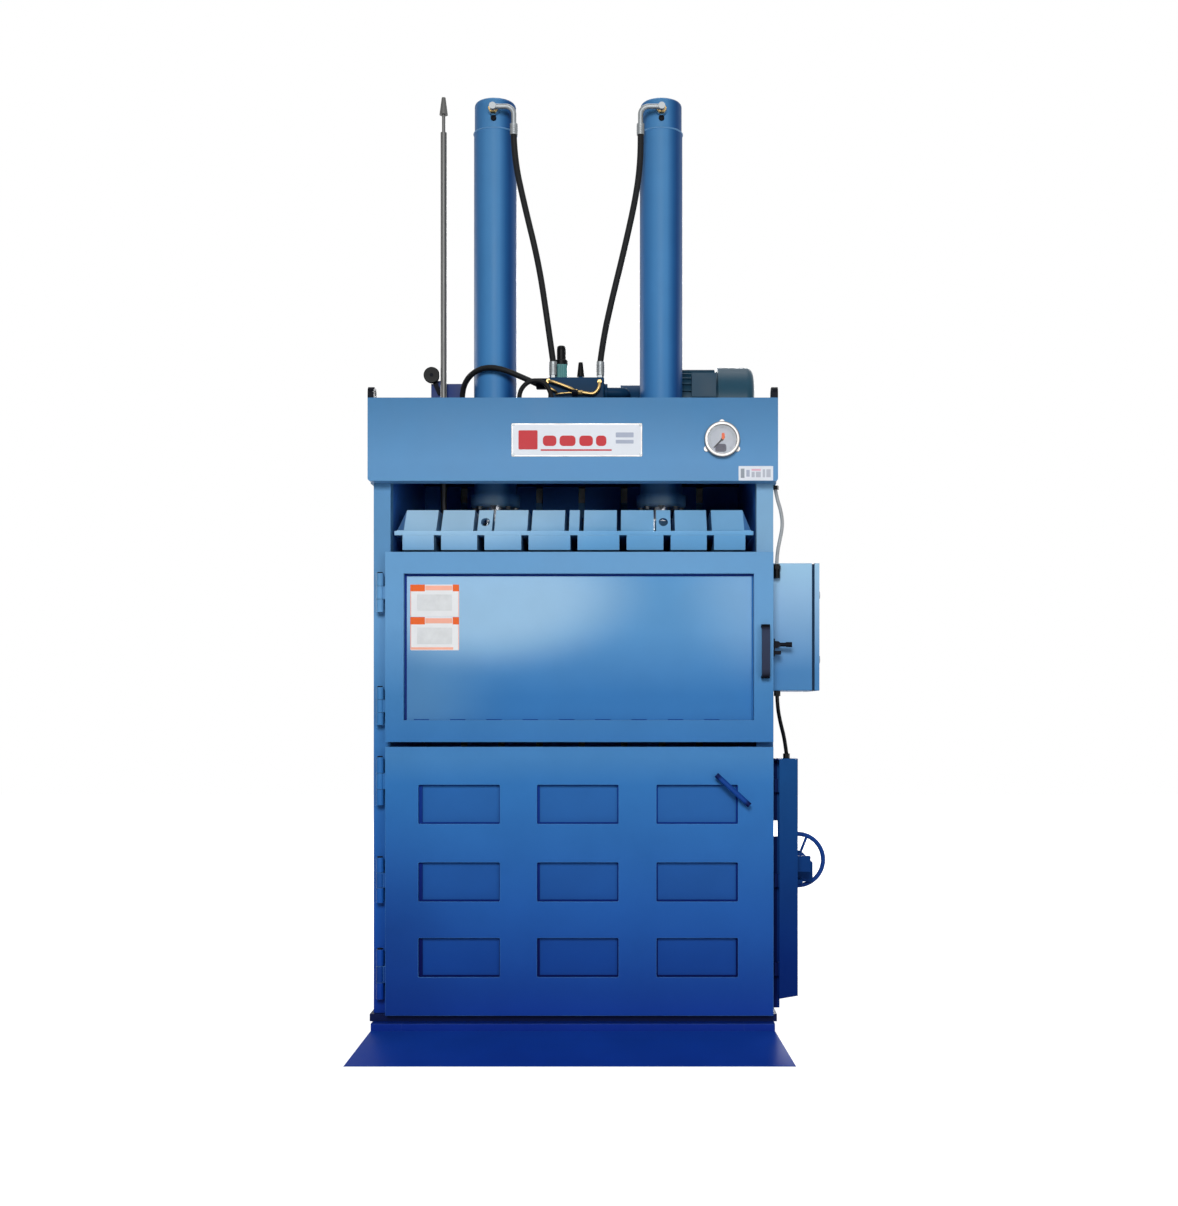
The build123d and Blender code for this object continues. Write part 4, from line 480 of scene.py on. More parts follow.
# Blackened steel is nearly matt, with pale rubbed edges
BLACK_STEEL = Finish("blackened_steel", "black_steel", "#090c15", roughness=0.5, metallic=0.1, specular=0.06,
                     grain_mm=2.0, grain_depth_mm=0.08, mottle_mm=50.0, mottle=0.2, edge_mm=1.2,
                     edge_gain=0.3, edge_colour="#4a4d52")
# Brass fittings are turned and then pickled, so they are soft gold with darker hollows
BRASS = Finish("turned_brass", "brass", "#a98f5e", roughness=0.42, metallic=1.0, grain_mm=1.2,
               grain_depth_mm=0.03, mottle_mm=30.0, mottle=0.14, edge_mm=0.6)
# Stainless sheet is polished with a mop, which leaves it bright but a little cloudy
GAUGE_STEEL = Finish("polished_stainless", "gauge_steel", "#8b8987", roughness=0.45, metallic=1.0,
                     grain_mm=0.8, grain_depth_mm=0.01, mottle_mm=40.0, mottle=0.05, edge_mm=1.0)
# Motor castings carry a thick blue-grey machine paint over a sand-cast skin
MOTOR = Finish("machine_paint_on_casting", "motor_paint", "#183c50", roughness=0.4, specular=0.12,
               grain_mm=3.0, grain_depth_mm=0.18, mottle_mm=90.0, mottle=0.1, edge_mm=2.0, edge_gain=0.35,
               edge_colour="#6b8fa3")
COWL = Finish("machine_paint_on_sheet", "motor_paint", "#244759", roughness=0.38, specular=0.12,
              mottle_mm=90.0, mottle=0.06, edge_mm=2.0, edge_gain=0.3, edge_colour="#6b8fa3")
# Valve block, pump and suction pipe: lighter above 2.3 m as painted light
VALVE = Enamel("machine_enamel_valve", "enamel_dark", specular=0.05, grain_mm=2.5, grain_depth_mm=0.12,
               mottle=0.14, edge_mm=1.5, edge_gain=0.25, edge_colour="#3f6a86",
               bands=((0.0, "#0d2c44"), (2.2, "#0d2c46"), (2.3, "#12395a"), (2.6, "#12395a")))
# Black mouldings are satin, and rubbed grey where they are handled
BLACK_PLASTIC = Moulding("moulded_black_plastic", "black_plastic", "#0a0b0d", roughness=0.36, specular=0.07,
                         grain_depth_mm=0.02, mottle_mm=60.0, mottle=0.1, edge_mm=1.0, edge_gain=0.2,
                         edge_colour="#3a3c40")
# The grip is painted lighter along its middle as a painted highlight, and is dark at both ends
GRIP = Enamel("moulded_grip_plastic", "black_plastic", roughness=0.5, specular=0.03, grain_mm=1.0,
              grain_depth_mm=0.02, edge_mm=1.0,
              bands=((1.204, "#08080e"), (1.216, "#2c3246"), (1.352, "#323a50"), (1.364, "#08080e")))
# Coloured mouldings: soft satin for housings, glossy for buttons
COIL = Moulding("moulded_teal_plastic", "motor_paint", "#3f7f80", roughness=0.42, specular=0.2, grain_mm=1.2,
                grain_depth_mm=0.03, mottle_mm=50.0, mottle=0.08, edge_mm=1.0)
SWITCH = Moulding("moulded_navy_housing", "enamel_dark", "#0a2a66", roughness=0.42, specular=0.12,
                  grain_depth_mm=0.04, mottle_mm=60.0, mottle=0.08, edge_mm=1.0, edge_gain=0.2,
                  edge_colour="#3a5ea0")
GREY_PLASTIC = Moulding("moulded_grey_plastic", "grey_plastic", "#9a9ea1", roughness=0.48, specular=0.2,
                        grain_mm=2.0, grain_depth_mm=0.1, mottle_mm=40.0, mottle=0.1, edge_mm=0.6)
RED = Moulding("moulded_red_plastic", "red_plastic", "#b8201c", roughness=0.28)
GREEN = Moulding("moulded_green_plastic", "green_plastic", "#1f8a49", roughness=0.3)
YELLOW = Moulding("moulded_yellow_plastic", "grey_plastic", "#e0b21e", roughness=0.35, specular=0.3)
# Hose rubber keeps the weave of the cloth it was cured in
RUBBER = Finish("cloth_cured_rubber", "rubber", "#0f1012", roughness=0.62, specular=0.15, grain_mm=1.6,
                grain_depth_mm=0.25, stretch=(1.0, 1.0, 0.5), mottle_mm=70.0, mottle=0.22, edge_mm=0.5)
# Foam seal is open-celled and quite matt
SEAL = Finish("foam_seal", "rubber", "#122b45", roughness=0.7, specular=0.1, grain_mm=2.0, grain_depth_mm=0.1,
              mottle_mm=30.0, mottle=0.1, edge_mm=0.5)
# Printed film and card: white base with a faint unevenness, and inks laid on it
WHITE_FILM = Print("printed_white_film", "gauge_steel", "#d3d8e0", roughness=0.4, specular=0.15, grain_mm=3.0,
                   grain_depth_mm=0.02, mottle_mm=60.0, mottle=0.03)
CARD = Print("coated_white_card", "gauge_steel", "#e0e2e4", specular=0.15, grain_mm=3.0, grain_depth_mm=0.02,
             mottle_mm=50.0, mottle=0.03)
PAPER_SHADE = Print("printed_grey_field", "gauge_steel", "#d2d5d7", specular=0.15, mottle_mm=20.0)
DIAL = Print("printed_silver_dial", "gauge_steel", "#b2b8c2", roughness=0.35, mottle_mm=40.0, mottle=0.06)
RED_INK = Print("red_ink", "red_plastic", "#bb343b")
ORANGE_INK = Print("orange_ink", "red_plastic", "#e4632a")
PINK_INK = Print("pink_ink", "red_plastic", "#d5a7b8")
SALMON_INK = Print("salmon_ink", "red_plastic", "#f0ad98", mottle=0.08)
GREY_INK = Print("grey_ink", "grey_plastic", "#8f979f", roughness=0.5)
PALE_INK = Print("pale_grey_ink", "grey_plastic", "#aeb3bf", roughness=0.5)
DUSK_INK = Print("dusk_grey_ink", "grey_plastic", "#4a4b5b", roughness=0.5, mottle=0.15)
BLUE_INK = Print("blue_ink", "enamel", "#a3abbd", roughness=0.5)
BLACK_INK = Print("black_ink", "black_plastic", "#1d1f22", roughness=0.5)
# Float glass over the dial: clear, with a hard sharp reflection
GLASS = Finish("gauge_glass", "gauge_steel", "#ffffff", roughness=0.02, specular=0.08, transmission=1.0,
               mottle=0.0, grain_depth_mm=0.0, edge_mm=0.2)


# Mesh making


def link(name: str, data: Any) -> bpy.types.Object:
    """Put new data in the scene as an object at the origin.

    Args:
        name: The object's name.
        data: Its mesh, curve, camera or light.

    Returns:
        The new object.
    """
    thing = bpy.data.objects.new(name, data)
    bpy.context.scene.collection.objects.link(thing)
    return thing


def settle(piece: bpy.types.Object, body: Body, finish: Finish, smooth: bool = False) -> bpy.types.Object:
    """Give a piece its finish, let it ride on its body and report it.

    Args:
        piece: The object, at the origin with its place in its mesh.
        body: What it moves with.
        finish: What it is made of.
        smooth: Whether its faces are shaded as one curve.

    Returns:
        The same object.
    """
    if smooth:
        piece.data.shade_smooth()
    if not piece.data.materials:
        piece.data.materials.append(finish.material())
    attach(piece, body.value)
    LOG.info("%s rides on %s in %s", piece.name, body.value, finish.name)
    return piece


def dress(finish: Finish, *nodes: str) -> None:
    """Give carried-over solids their finish.

    Args:
        finish: What they are made of.
        nodes: Their names in the frame.
    """
    for node in nodes:
        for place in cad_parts[node].material_slots:
            place.material = finish.material()
        LOG.info("%s in %s", node, finish.name)


def turned_to(facing: Facing) -> Matrix:
    """Find the turn that points +Z along a facing, with upright things kept upright.

    Args:
        facing: The way to look.

    Returns:
        The turn.
    """
    normal = Vector(facing.value)
    up = Vector((0.0, 1.0, 0.0)) if abs(normal.z) > 0.5 else Vector((0.0, 0.0, 1.0))
    right = up.cross(normal)
    return Matrix((right, up, normal)).transposed().to_4x4()


def placed(name: str, shape: bmesh.types.BMesh, centre: Point = (0.0, 0.0, 0.0),
           facing: Facing = Facing.UP) -> bpy.types.Object:
    """Make an object of a finished shape, with its place in its mesh.

    Args:
        name: The piece's name.
        shape: The shape, which is used up.
        centre: Where its own origin goes.
        facing: Where its own +Z goes.

    Returns:
        The new object, not yet riding.
    """
    mesh = bpy.data.meshes.new(name)
    shape.to_mesh(mesh)
    shape.free()
    mesh.transform(Matrix.Translation(centre) @ turned_to(facing))
    return link(name, mesh)


def sheet_plate(name: str, centre: Point, size: Span, thick: float, facing: Facing,
                corner: float = 0.0) -> bpy.types.Object:
    """A flat plate with rounded corners and softened front edges.

    Args:
        name: The piece's name.
        centre: Middle of its back face.
        size: Its width and height.
        thick: Its thickness.
        facing: The way its front looks.
        corner: Radius of its corners, or zero for sharp ones.

    Returns:
        The new object, not yet riding.
    """
    half_w, half_h = size[0] / 2, size[1] / 2
    shares = (0.0, 0.25, 0.5, 0.75, 1.0) if corner > 0 else (0.5,)
    rim = []
    for quarter, (sx, sy) in enumerate(((1, 1), (-1, 1), (-1, -1), (1, -1))):
        for share in shares:
            angle = math.radians(90 * (quarter + share))
            rim.append((sx * (half_w - corner) + corner * math.cos(angle),
                        sy * (half_h - corner) + corner * math.sin(angle)))
    soften = min(thick * 0.4, 0.0006)
    shape = bmesh.new()
    layers = []
    for inset, z in ((0.0, 0.0), (0.0, thick - soften), (soften, thick)):
        layers.append([
            shape.verts.new((x - math.copysign(inset, x), y - math.copysign(inset, y), z)) for x, y in rim
        ])
    count = len(rim)
    for lower, upper in zip(layers, layers[1:]):
        for index in range(count):
            after = (index + 1) % count
            shape.faces.new((lower[index], lower[after], upper[after], upper[index]))
    shape.faces.new(layers[-1])
    shape.faces.new(list(reversed(layers[0])))
    return placed(name, shape, centre, facing)


def lathe(name: str, profile: Sequence[Span], centre: Point, facing: Facing,
          sides: int = 48) -> bpy.types.Object:
    """A turned piece: radius and height pairs spun about the facing's axis.

    Args:
        name: The piece's name.
        profile: Radius and height of each ring, the first and last on the axis for a closed end.
        centre: Where height zero lies on the axis.
        facing: The axis, towards which heights grow.
        sides: How many facets go round.

    Returns:
        The new object, not yet riding.
    """
    shape = bmesh.new()
    turns = [(math.cos(math.tau * i / sides), math.sin(math.tau * i / sides)) for i in range(sides)]
    rings = []
    for radius, height in profile:
        corners = turns if radius > 1e-7 else [(0.0, 0.0)]
        rings.append([shape.verts.new((radius * x, radius * y, height)) for x, y in corners])
    for lower, upper in zip(rings, rings[1:]):
        for i in range(sides):
            j = (i + 1) % sides
            if len(lower) == 1:
                shape.faces.new((lower[0], upper[j], upper[i]))
            elif len(upper) == 1:
                shape.faces.new((lower[i], lower[j], upper[0]))
            else:
                shape.faces.new((lower[i], lower[j], upper[j], upper[i]))
    bmesh.ops.recalc_face_normals(shape, faces=shape.faces)
    return placed(name, shape, centre, facing)


def hex_nut(name: str, centre: Point, facing: Facing, across: float, length: float) -> bpy.types.Object:
    """A hexagon nut or union with chamfered ends.

    Args:
        name: The piece's name.
        centre: Middle of its back face.
        facing: The way its front looks.
        across: Its width across the flats.
        length: Its length.

    Returns:
        The new object, not yet riding.
    """
    corner, chamfer = across * FLAT_TO_CORNER, across * 0.06
    profile = ((0.0, 0.0), (corner - chamfer, 0.0), (corner, chamfer), (corner, length - chamfer),
               (corner - chamfer, length), (0.0, length))
    return lathe(name, profile, centre, facing, sides=6)


def lines_mesh(name: str, paths: Iterable[Sequence[Point]], closed: bool = False) -> bpy.types.Mesh:
    """A mesh of edges only, one chain for each path, to carry a geometry tree.

    Args:
        name: The mesh's name.
        paths: The points of each chain, or one point for a place.
        closed: Whether each chain comes back to its start.

    Returns:
        The new mesh.
    """
    points: list[Point] = []
    edges: list[tuple[int, int]] = []
    for path in paths:
        start = len(points)
        points += list(path)
        edges += [(start + i, start + i + 1) for i in range(len(path) - 1)]
        if closed:
            edges.append((len(points) - 1, start))
    mesh = bpy.data.meshes.new(name)
    mesh.from_pydata(points, edges, [])
    return mesh


def circle_path(centre: Point, radius: float, facing: Facing, count: int = 48) -> list[Point]:
    """Points round a circle that looks along a facing.

    Args:
        centre: Its middle.
        radius: Its radius.
        facing: The way it looks.
        count: How many points it has.

    Returns:
        The points in order.
    """
    turn = Matrix.Translation(centre) @ turned_to(facing)
    angles = (math.tau * i / count for i in range(count))
    return [tuple(turn @ Vector((radius * math.cos(a), radius * math.sin(a), 0.0))) for a in angles]


def round_line(name: str, route: Sequence[Point], diameter: float, steps: int,
               facets: int) -> bpy.types.Object:
    """A round line that runs smoothly along a few control points, as a curve.

    Args:
        name: The piece's name.
        route: Control points of its middle line.
        diameter: Its outside diameter.
        steps: How finely each stretch is divided.
        facets: How finely it is rounded.

    Returns:
        The new object, not yet riding.
    """
    curve = bpy.data.curves.new(name, "CURVE")
    curve.dimensions = "3D"
    spline = curve.splines.new("NURBS")
    spline.points.add(len(route) - 1)
    for control, point in zip(spline.points, route):
        control.co = (*point, 1.0)
    spline.order_u = 3
    spline.use_endpoint_u = True
    spline.resolution_u = steps
    curve.bevel_depth = diameter / 2
    curve.bevel_resolution = facets
    curve.use_fill_caps = True
    return link(name + "_line", curve)


def plain_mesh(name: str, holder: bpy.types.Object) -> bpy.types.Object:
    """Turn what an object shows into a plain mesh piece, and remove the object.

    Args:
        name: The piece's name.
        holder: The curve, or the mesh with its geometry tree.

    Returns:
        The new object, not yet riding.
    """
    mesh = bpy.data.meshes.new_from_object(holder.evaluated_get(bpy.context.evaluated_depsgraph_get()))
    mesh.name = name
    bpy.data.objects.remove(holder)
    return link(name, mesh)


def pipe(name: str, route: Sequence[Point], diameter: float) -> bpy.types.Object:
    """A rigid pipe bent smoothly along a few control points, as a plain mesh."""
    return plain_mesh(name, round_line(name, route, diameter, steps=8, facets=4))


# Geometry trees for what repeats


FLOAT, COUNT, VECTOR = "NodeSocketFloat", "NodeSocketInt", "NodeSocketVector"


class Repeat:
    """A geometry tree with named inputs, which is run once for each use."""

    sockets: dict[str, tuple[str, Any]] = {}

    def __init__(self, name: str) -> None:
        """Open the tree with its named inputs, and wire its body.

        Args:
            name: The tree's name.
        """
        self.tree = bpy.data.node_groups.new(name, "GeometryNodeTree")
        face = self.tree.interface
        face.new_socket("Geometry", in_out="INPUT", socket_type="NodeSocketGeometry")
        for label, (kind, default) in self.sockets.items():
            face.new_socket(label, in_out="INPUT", socket_type=kind).default_value = default
        face.new_socket("Finish", in_out="INPUT", socket_type="NodeSocketMaterial")
        face.new_socket("Geometry", in_out="OUTPUT", socket_type="NodeSocketGeometry")
        given = wire(self.tree, "NodeGroupInput").outputs
        made = self.body(given, partial(wire, self.tree))
        solid = wire(self.tree, "GeometryNodeRealizeInstances", {"Geometry": made})
        done = wire(self.tree, "GeometryNodeSetMaterial", {"Geometry": solid, "Material": given["Finish"]})
        wire(self.tree, "NodeGroupOutput", {"Geometry": done})

    def body(self, given: Sockets, add: Adder) -> bpy.types.Node:
        """Wire what the tree makes.

        Args:
            given: The tree's inputs by name.
            add: The function that adds a node to the tree.

        Returns:
            The node that gives the geometry before it is realized.
        """
        raise NotImplementedError

    def grow(self, name: str, carrier: bpy.types.Mesh | Iterable[Sequence[Point]], body: Body, finish: Finish,
             smooth: bool = False, **values: Any) -> bpy.types.Object:
        """Run the tree on a carrier and settle the result as a plain piece.

        Args:
            name: The piece's name.
            carrier: The points or edges that the tree works on, as a mesh or as paths.
            body: What the piece moves with.
            finish: What it is made of.
            smooth: Whether its faces are shaded as one curve.
            values: The tree's inputs by name, with spaces written as underscores.

        Returns:
            The new piece.
        """
        mesh = carrier if isinstance(carrier, bpy.types.Mesh) else lines_mesh(name + "_paths", carrier)
        holder = link(name + "_carrier", mesh)
        modifier = holder.modifiers.new("grow", "NODES")
        modifier.node_group = self.tree
        wanted = {label.replace("_", " "): value for label, value in values.items()}
        wanted["Finish"] = finish.material()
        for item in self.tree.interface.items_tree:
            if item.in_out == "INPUT" and item.name in wanted:
                modifier[item.identifier] = wanted[item.name]
        return settle(plain_mesh(name, holder), body, finish, smooth)


class Screws(Repeat):
    """A hexagon head on a washer at every point, each turned a little differently."""

    sockets = {
        "Across": (FLOAT, 0.013), "Height": (FLOAT, 0.006), "Washer": (FLOAT, 0.0018), "Sides": (COUNT, 6),
        "Facing": (VECTOR, (0.0, -1.0, 0.0)), "Seed": (COUNT, 3),
    }

    def body(self, given: Sockets, add: Adder) -> bpy.types.Node:
        """Instance the head and washer on the carrier's points.

        Args:
            given: The tree's inputs by name.
            add: The function that adds a node to the tree.

        Returns:
            The turned instances.
        """
        washer_reach, washer_sides = 0.92, 20
        radius = add(MATH, {0: given["Across"], 1: FLAT_TO_CORNER}, operation="MULTIPLY")
        half = add(MATH, {0: given["Height"], 1: 0.5, 2: given["Washer"]}, operation="MULTIPLY_ADD")
        wide = add(MATH, {0: given["Across"], 1: washer_reach}, operation="MULTIPLY")
        low = add(MATH, {0: given["Washer"], 1: 0.5}, operation="MULTIPLY")
        both = add("GeometryNodeJoinGeometry")
        for sides, reach, tall, middle in ((given["Sides"], radius, given["Height"], half),
                                           (washer_sides, wide, given["Washer"], low)):
            disc = add("GeometryNodeMeshCylinder", {"Vertices": sides, "Radius": reach, "Depth": tall})
            lift = add(COMBINE, {"Z": middle})
            raised = add("GeometryNodeTransform", {"Geometry": disc, "Translation": lift})
            self.tree.links.new(raised.outputs[0], both.inputs[0])
        aim = add("FunctionNodeAlignRotationToVector", {"Vector": given["Facing"]}, axis="Z")
        heads = add("GeometryNodeInstanceOnPoints",
                    {"Points": given["Geometry"], "Instance": both, "Rotation": aim})
        spin = add("FunctionNodeRandomValue", {2: 0.0, 3: 1.0, "Seed": given["Seed"]}, data_type="FLOAT")
        turn = add("FunctionNodeEulerToRotation", {0: add(COMBINE, {"Z": spin.outputs[1]})})
        return add("GeometryNodeRotateInstances", {"Instances": heads, "Rotation": turn, "Local Space": True})


class Ripples(Repeat):
    """A round bead along every chain of edges, thick and thin by turns: welds, crimps and threads."""

    sockets = {
        "Radius": (FLOAT, 0.003), "Ripple": (FLOAT, 0.2), "Pitch": (FLOAT, 0.005), "Sides": (COUNT, 8),
        "Steps": (FLOAT, 3.0),
    }

    def body(self, given: Sockets, add: Adder) -> bpy.types.Node:
        """Sweep a circle along the chains, with its size a wave of the length.

        Args:
            given: The tree's inputs by name.
            add: The function that adds a node to the tree.

        Returns:
            The swept beads.
        """
        curve = add("GeometryNodeMeshToCurve", {"Mesh": given["Geometry"]})
        step = add(MATH, {0: given["Pitch"], 1: given["Steps"]}, operation="DIVIDE")
        fine = add("GeometryNodeResampleCurve", {"Curve": curve, "Length": step}, mode="LENGTH")
        along = add("GeometryNodeSplineParameter").outputs["Length"]
        turns = add(MATH, {0: along, 1: given["Pitch"]}, operation="DIVIDE")
        phase = add(MATH, {0: turns, 1: math.tau}, operation="MULTIPLY")
        wave = add(MATH, {0: phase}, operation="SINE")
        swell = add(MATH, {0: wave, 1: given["Ripple"], 2: 1.0}, operation="MULTIPLY_ADD")
        sized = add("GeometryNodeSetCurveRadius", {"Curve": fine, "Radius": swell})
        ring = add("GeometryNodeCurvePrimitiveCircle",
                   {"Resolution": given["Sides"], "Radius": given["Radius"]})
        bead = add("GeometryNodeCurveToMesh", {"Curve": sized, "Profile Curve": ring, "Fill Caps": True})
        if "Scale" in bead.inputs:
            self.tree.links.new(swell.outputs[0], bead.inputs["Scale"])
        return bead


class Spokes(Repeat):
    """Small bars set round an arc, each pointing at the middle: dial ticks and grille slots."""

    sockets = {
        "Count": (COUNT, 11), "Start": (FLOAT, 0.0), "Sweep": (FLOAT, math.tau), "Radius": (FLOAT, 0.04),
        "Length": (FLOAT, 0.005), "Width": (FLOAT, 0.001), "Depth": (FLOAT, 0.0004),
        "Major Every": (COUNT, 1), "Minor": (FLOAT, 0.6), "Middle": (VECTOR, (0.0, 0.0, 0.0)),
        "Turn": (VECTOR, (0.0, 0.0, 0.0)),
    }

    def body(self, given: Sockets, add: Adder) -> bpy.types.Node:
        """Place the bars by their number along the arc, then move the whole to its middle.

        Args:
            given: The tree's inputs by name.
            add: The function that adds a node to the tree.

        Returns:
            The placed bars.
        """
        points = add("GeometryNodePoints", {"Count": given["Count"]})
        index = add("GeometryNodeInputIndex")
        last = add(MATH, {0: given["Count"], 1: 1.0}, operation="SUBTRACT")
        share = add(MATH, {0: index, 1: last}, operation="DIVIDE")
        angle = add(MATH, {0: share, 1: given["Sweep"], 2: given["Start"]}, operation="MULTIPLY_ADD")
        across = add(MATH, {0: angle}, operation="COSINE")
        upward = add(MATH, {0: angle}, operation="SINE")
        arm = add(COMBINE, {"X": across, "Z": upward})
        place = add(VECTORS, {0: arm, "Scale": given["Radius"]}, operation="SCALE")
        spread = add("GeometryNodeSetPosition", {"Geometry": points, "Position": place})
        size = add(COMBINE, {"X": given["Length"], "Y": given["Depth"], "Z": given["Width"]})
        bar = add("GeometryNodeMeshCube", {"Size": size})
        back = add(MATH, {0: angle, 1: -1.0}, operation="MULTIPLY")
        turn = add("FunctionNodeEulerToRotation", {0: add(COMBINE, {"Y": back})})
        left = add(MATH, {0: index, 1: given["Major Every"]}, operation="MODULO")
        minor = add(MATH, {0: left, 1: 0.5}, operation="GREATER_THAN")
        shrink = add(MATH, {0: given["Minor"], 1: 1.0}, operation="SUBTRACT")
        scale = add(MATH, {0: minor, 1: shrink, 2: 1.0}, operation="MULTIPLY_ADD")
        sized = add(COMBINE, {"X": scale, "Y": 1.0, "Z": scale})
        bars = add("GeometryNodeInstanceOnPoints",
                   {"Points": spread, "Instance": bar, "Rotation": turn, "Scale": sized})
        return add("GeometryNodeTransform",
                   {"Geometry": bars, "Translation": given["Middle"], "Rotation": given["Turn"]})


class Channels(Repeat):
    """An open channel at every point, as tall as the point's own attribute says."""

    sockets = {"Width": (FLOAT, 0.037), "Depth": (FLOAT, 0.03), "Sheet": (FLOAT, 0.002)}

    def body(self, given: Sockets, add: Adder) -> bpy.types.Node:
        """Join a back and two sides of unit height, and stretch them at every point.

        Args:
            given: The tree's inputs by name.
            add: The function that adds a node to the tree.

        Returns:
            The stretched instances.
        """
        whole = add("GeometryNodeJoinGeometry")
        middle = add(MATH, {0: given["Depth"], 1: 0.5}, operation="MULTIPLY")
        behind = add(COMBINE, {"Y": given["Depth"]})
        walls = [({"X": given["Width"], "Y": given["Sheet"], "Z": 1.0}, behind)]
        for half in (-0.5, 0.5):
            x = add(MATH, {0: given["Width"], 1: half}, operation="MULTIPLY")
            beside = add(COMBINE, {"X": x, "Y": middle})
            walls.append(({"X": given["Sheet"], "Y": given["Depth"], "Z": 1.0}, beside))
        for size, place in walls:
            wall = add("GeometryNodeMeshCube", {"Size": add(COMBINE, size)})
            moved = add("GeometryNodeTransform", {"Geometry": wall, "Translation": place})
            self.tree.links.new(moved.outputs[0], whole.inputs[0])
        tall = add("GeometryNodeInputNamedAttribute", {"Name": "tall"}, data_type="FLOAT")
        scale = add(COMBINE, {"X": 1.0, "Y": 1.0, "Z": tall})
        return add("GeometryNodeInstanceOnPoints",
                   {"Points": given["Geometry"], "Instance": whole, "Scale": scale})


class Kit:
    """The trees that several sub-assemblies share."""

    def __init__(self) -> None:
        """Build each tree once."""
        self.screws = Screws("screw_heads")
        self.ripples = Ripples("rippled_beads")
        self.spokes = Spokes("bars_round_an_arc")
        self.channels = Channels("open_channels")


# Camera, hoses and cables


@dataclass
class Camera:
    """The photograph's viewpoint: level, in front and a little to the right."""

    place: Point = (0.1885, -5.45, 1.1)
    focal_px: float = 1525.0
    centre_px: Span = (631.0, 709.0)
    image_px: Span = (1178.0, 1206.0)
    sensor_mm: float = 36.0

    def build(self) -> None:
        """Create the camera and make it the scene's own."""
        data = bpy.data.cameras.new("photo_view")
        width, height = self.image_px
        data.sensor_width = self.sensor_mm
        data.lens = self.focal_px * self.sensor_mm / height
        data.shift_x = (width / 2 - self.centre_px[0]) / height
        data.shift_y = (self.centre_px[1] - height / 2) / height
        data.clip_end = 100.0
        camera = link("photo_view", data)
        camera.location = self.place
        camera.rotation_euler = (math.pi / 2, 0.0, 0.0)
        bpy.context.scene.camera = camera


@dataclass(frozen=True)
class Cord:
    """One hose or cable between two fittings, by its route, size and length."""

    name: str
    diameter: float
    length: float
    route: tuple[Point, ...]
    finish: Finish = RUBBER
    fittings: str = "hose_fittings"
    stiffness: str = "stiff"
    lay: str = "loose"

    def build(self) -> None:
        line = round_line(self.name, self.route, self.diameter, steps=10, facets=5)
        piece = settle(line, Body.FRAME, self.finish)
        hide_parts(self.name)


CORDS = (
    Cord("left_head_hose", 0.022, 0.808, (
        (-0.222, -0.110, 3.110), (-0.219, -0.110, 3.024), (-0.187, -0.110, 2.874), (-0.134, -0.110, 2.659),
        (-0.102, -0.110, 2.444), (-0.084, -0.110, 2.315)), lay="hanging"),
    Cord("right_head_hose", 0.022, 0.810, (
        (0.222, -0.110, 3.110), (0.223, -0.110, 3.040), (0.209, -0.110, 2.908), (0.166, -0.110, 2.713),
        (0.121, -0.110, 2.531), (0.092, -0.110, 2.400), (0.081, -0.110, 2.315)), lay="hanging"),
    Cord("left_rod_hose", 0.020, 0.401, (
        (-0.414, 0.0, 2.172), (-0.415, -0.008, 2.214), (-0.402, -0.038, 2.258), (-0.368, -0.074, 2.287),
        (-0.318, -0.104, 2.299), (-0.262, -0.114, 2.290), (-0.203, -0.112, 2.266), (-0.140, -0.110, 2.238))),
    Cord("right_rod_hose", 0.016, 0.708, (
        (-0.084, -0.165, 2.166), (-0.090, -0.165, 2.204), (-0.118, -0.165, 2.237), (-0.163, -0.165, 2.239),
        (-0.196, -0.165, 2.207), (-0.200, -0.166, 2.160), (-0.172, -0.172, 2.118), (-0.118, -0.182, 2.096),
        (-0.048, -0.188, 2.095), (0.028, -0.188, 2.095), (0.098, -0.178, 2.098), (0.149, -0.141, 2.106),
        (0.173, -0.088, 2.118), (0.178, -0.038, 2.130))),
    Cord("conduit", 0.012, 0.251, (
        (0.667, -0.400, 1.826), (0.672, -0.401, 1.796), (0.685, -0.402, 1.756), (0.691, -0.402, 1.710),
        (0.682, -0.401, 1.662), (0.673, -0.400, 1.620), (0.671, -0.400, 1.579)),
        GREY_PLASTIC, "cable_glands", "medium"),
    Cord("lock_cable", 0.013, 0.221, (
        (0.676, -0.362, 1.143), (0.677, -0.367, 1.105), (0.684, -0.399, 1.052), (0.693, -0.446, 1.000),
        (0.696, -0.470, 0.955)), BLACK_PLASTIC, "cable_glands", "medium"),
)


# Sub-assemblies


# Heights of the rings of ribs that run round the sides and the rear wall
RIB_LEVELS = (0.150, 0.570, 0.880, 1.200, 1.550, 1.860)
# The carrier of a tree that makes its own points
ONE_POINT = [[(0.0, 0.0, 0.0)]]


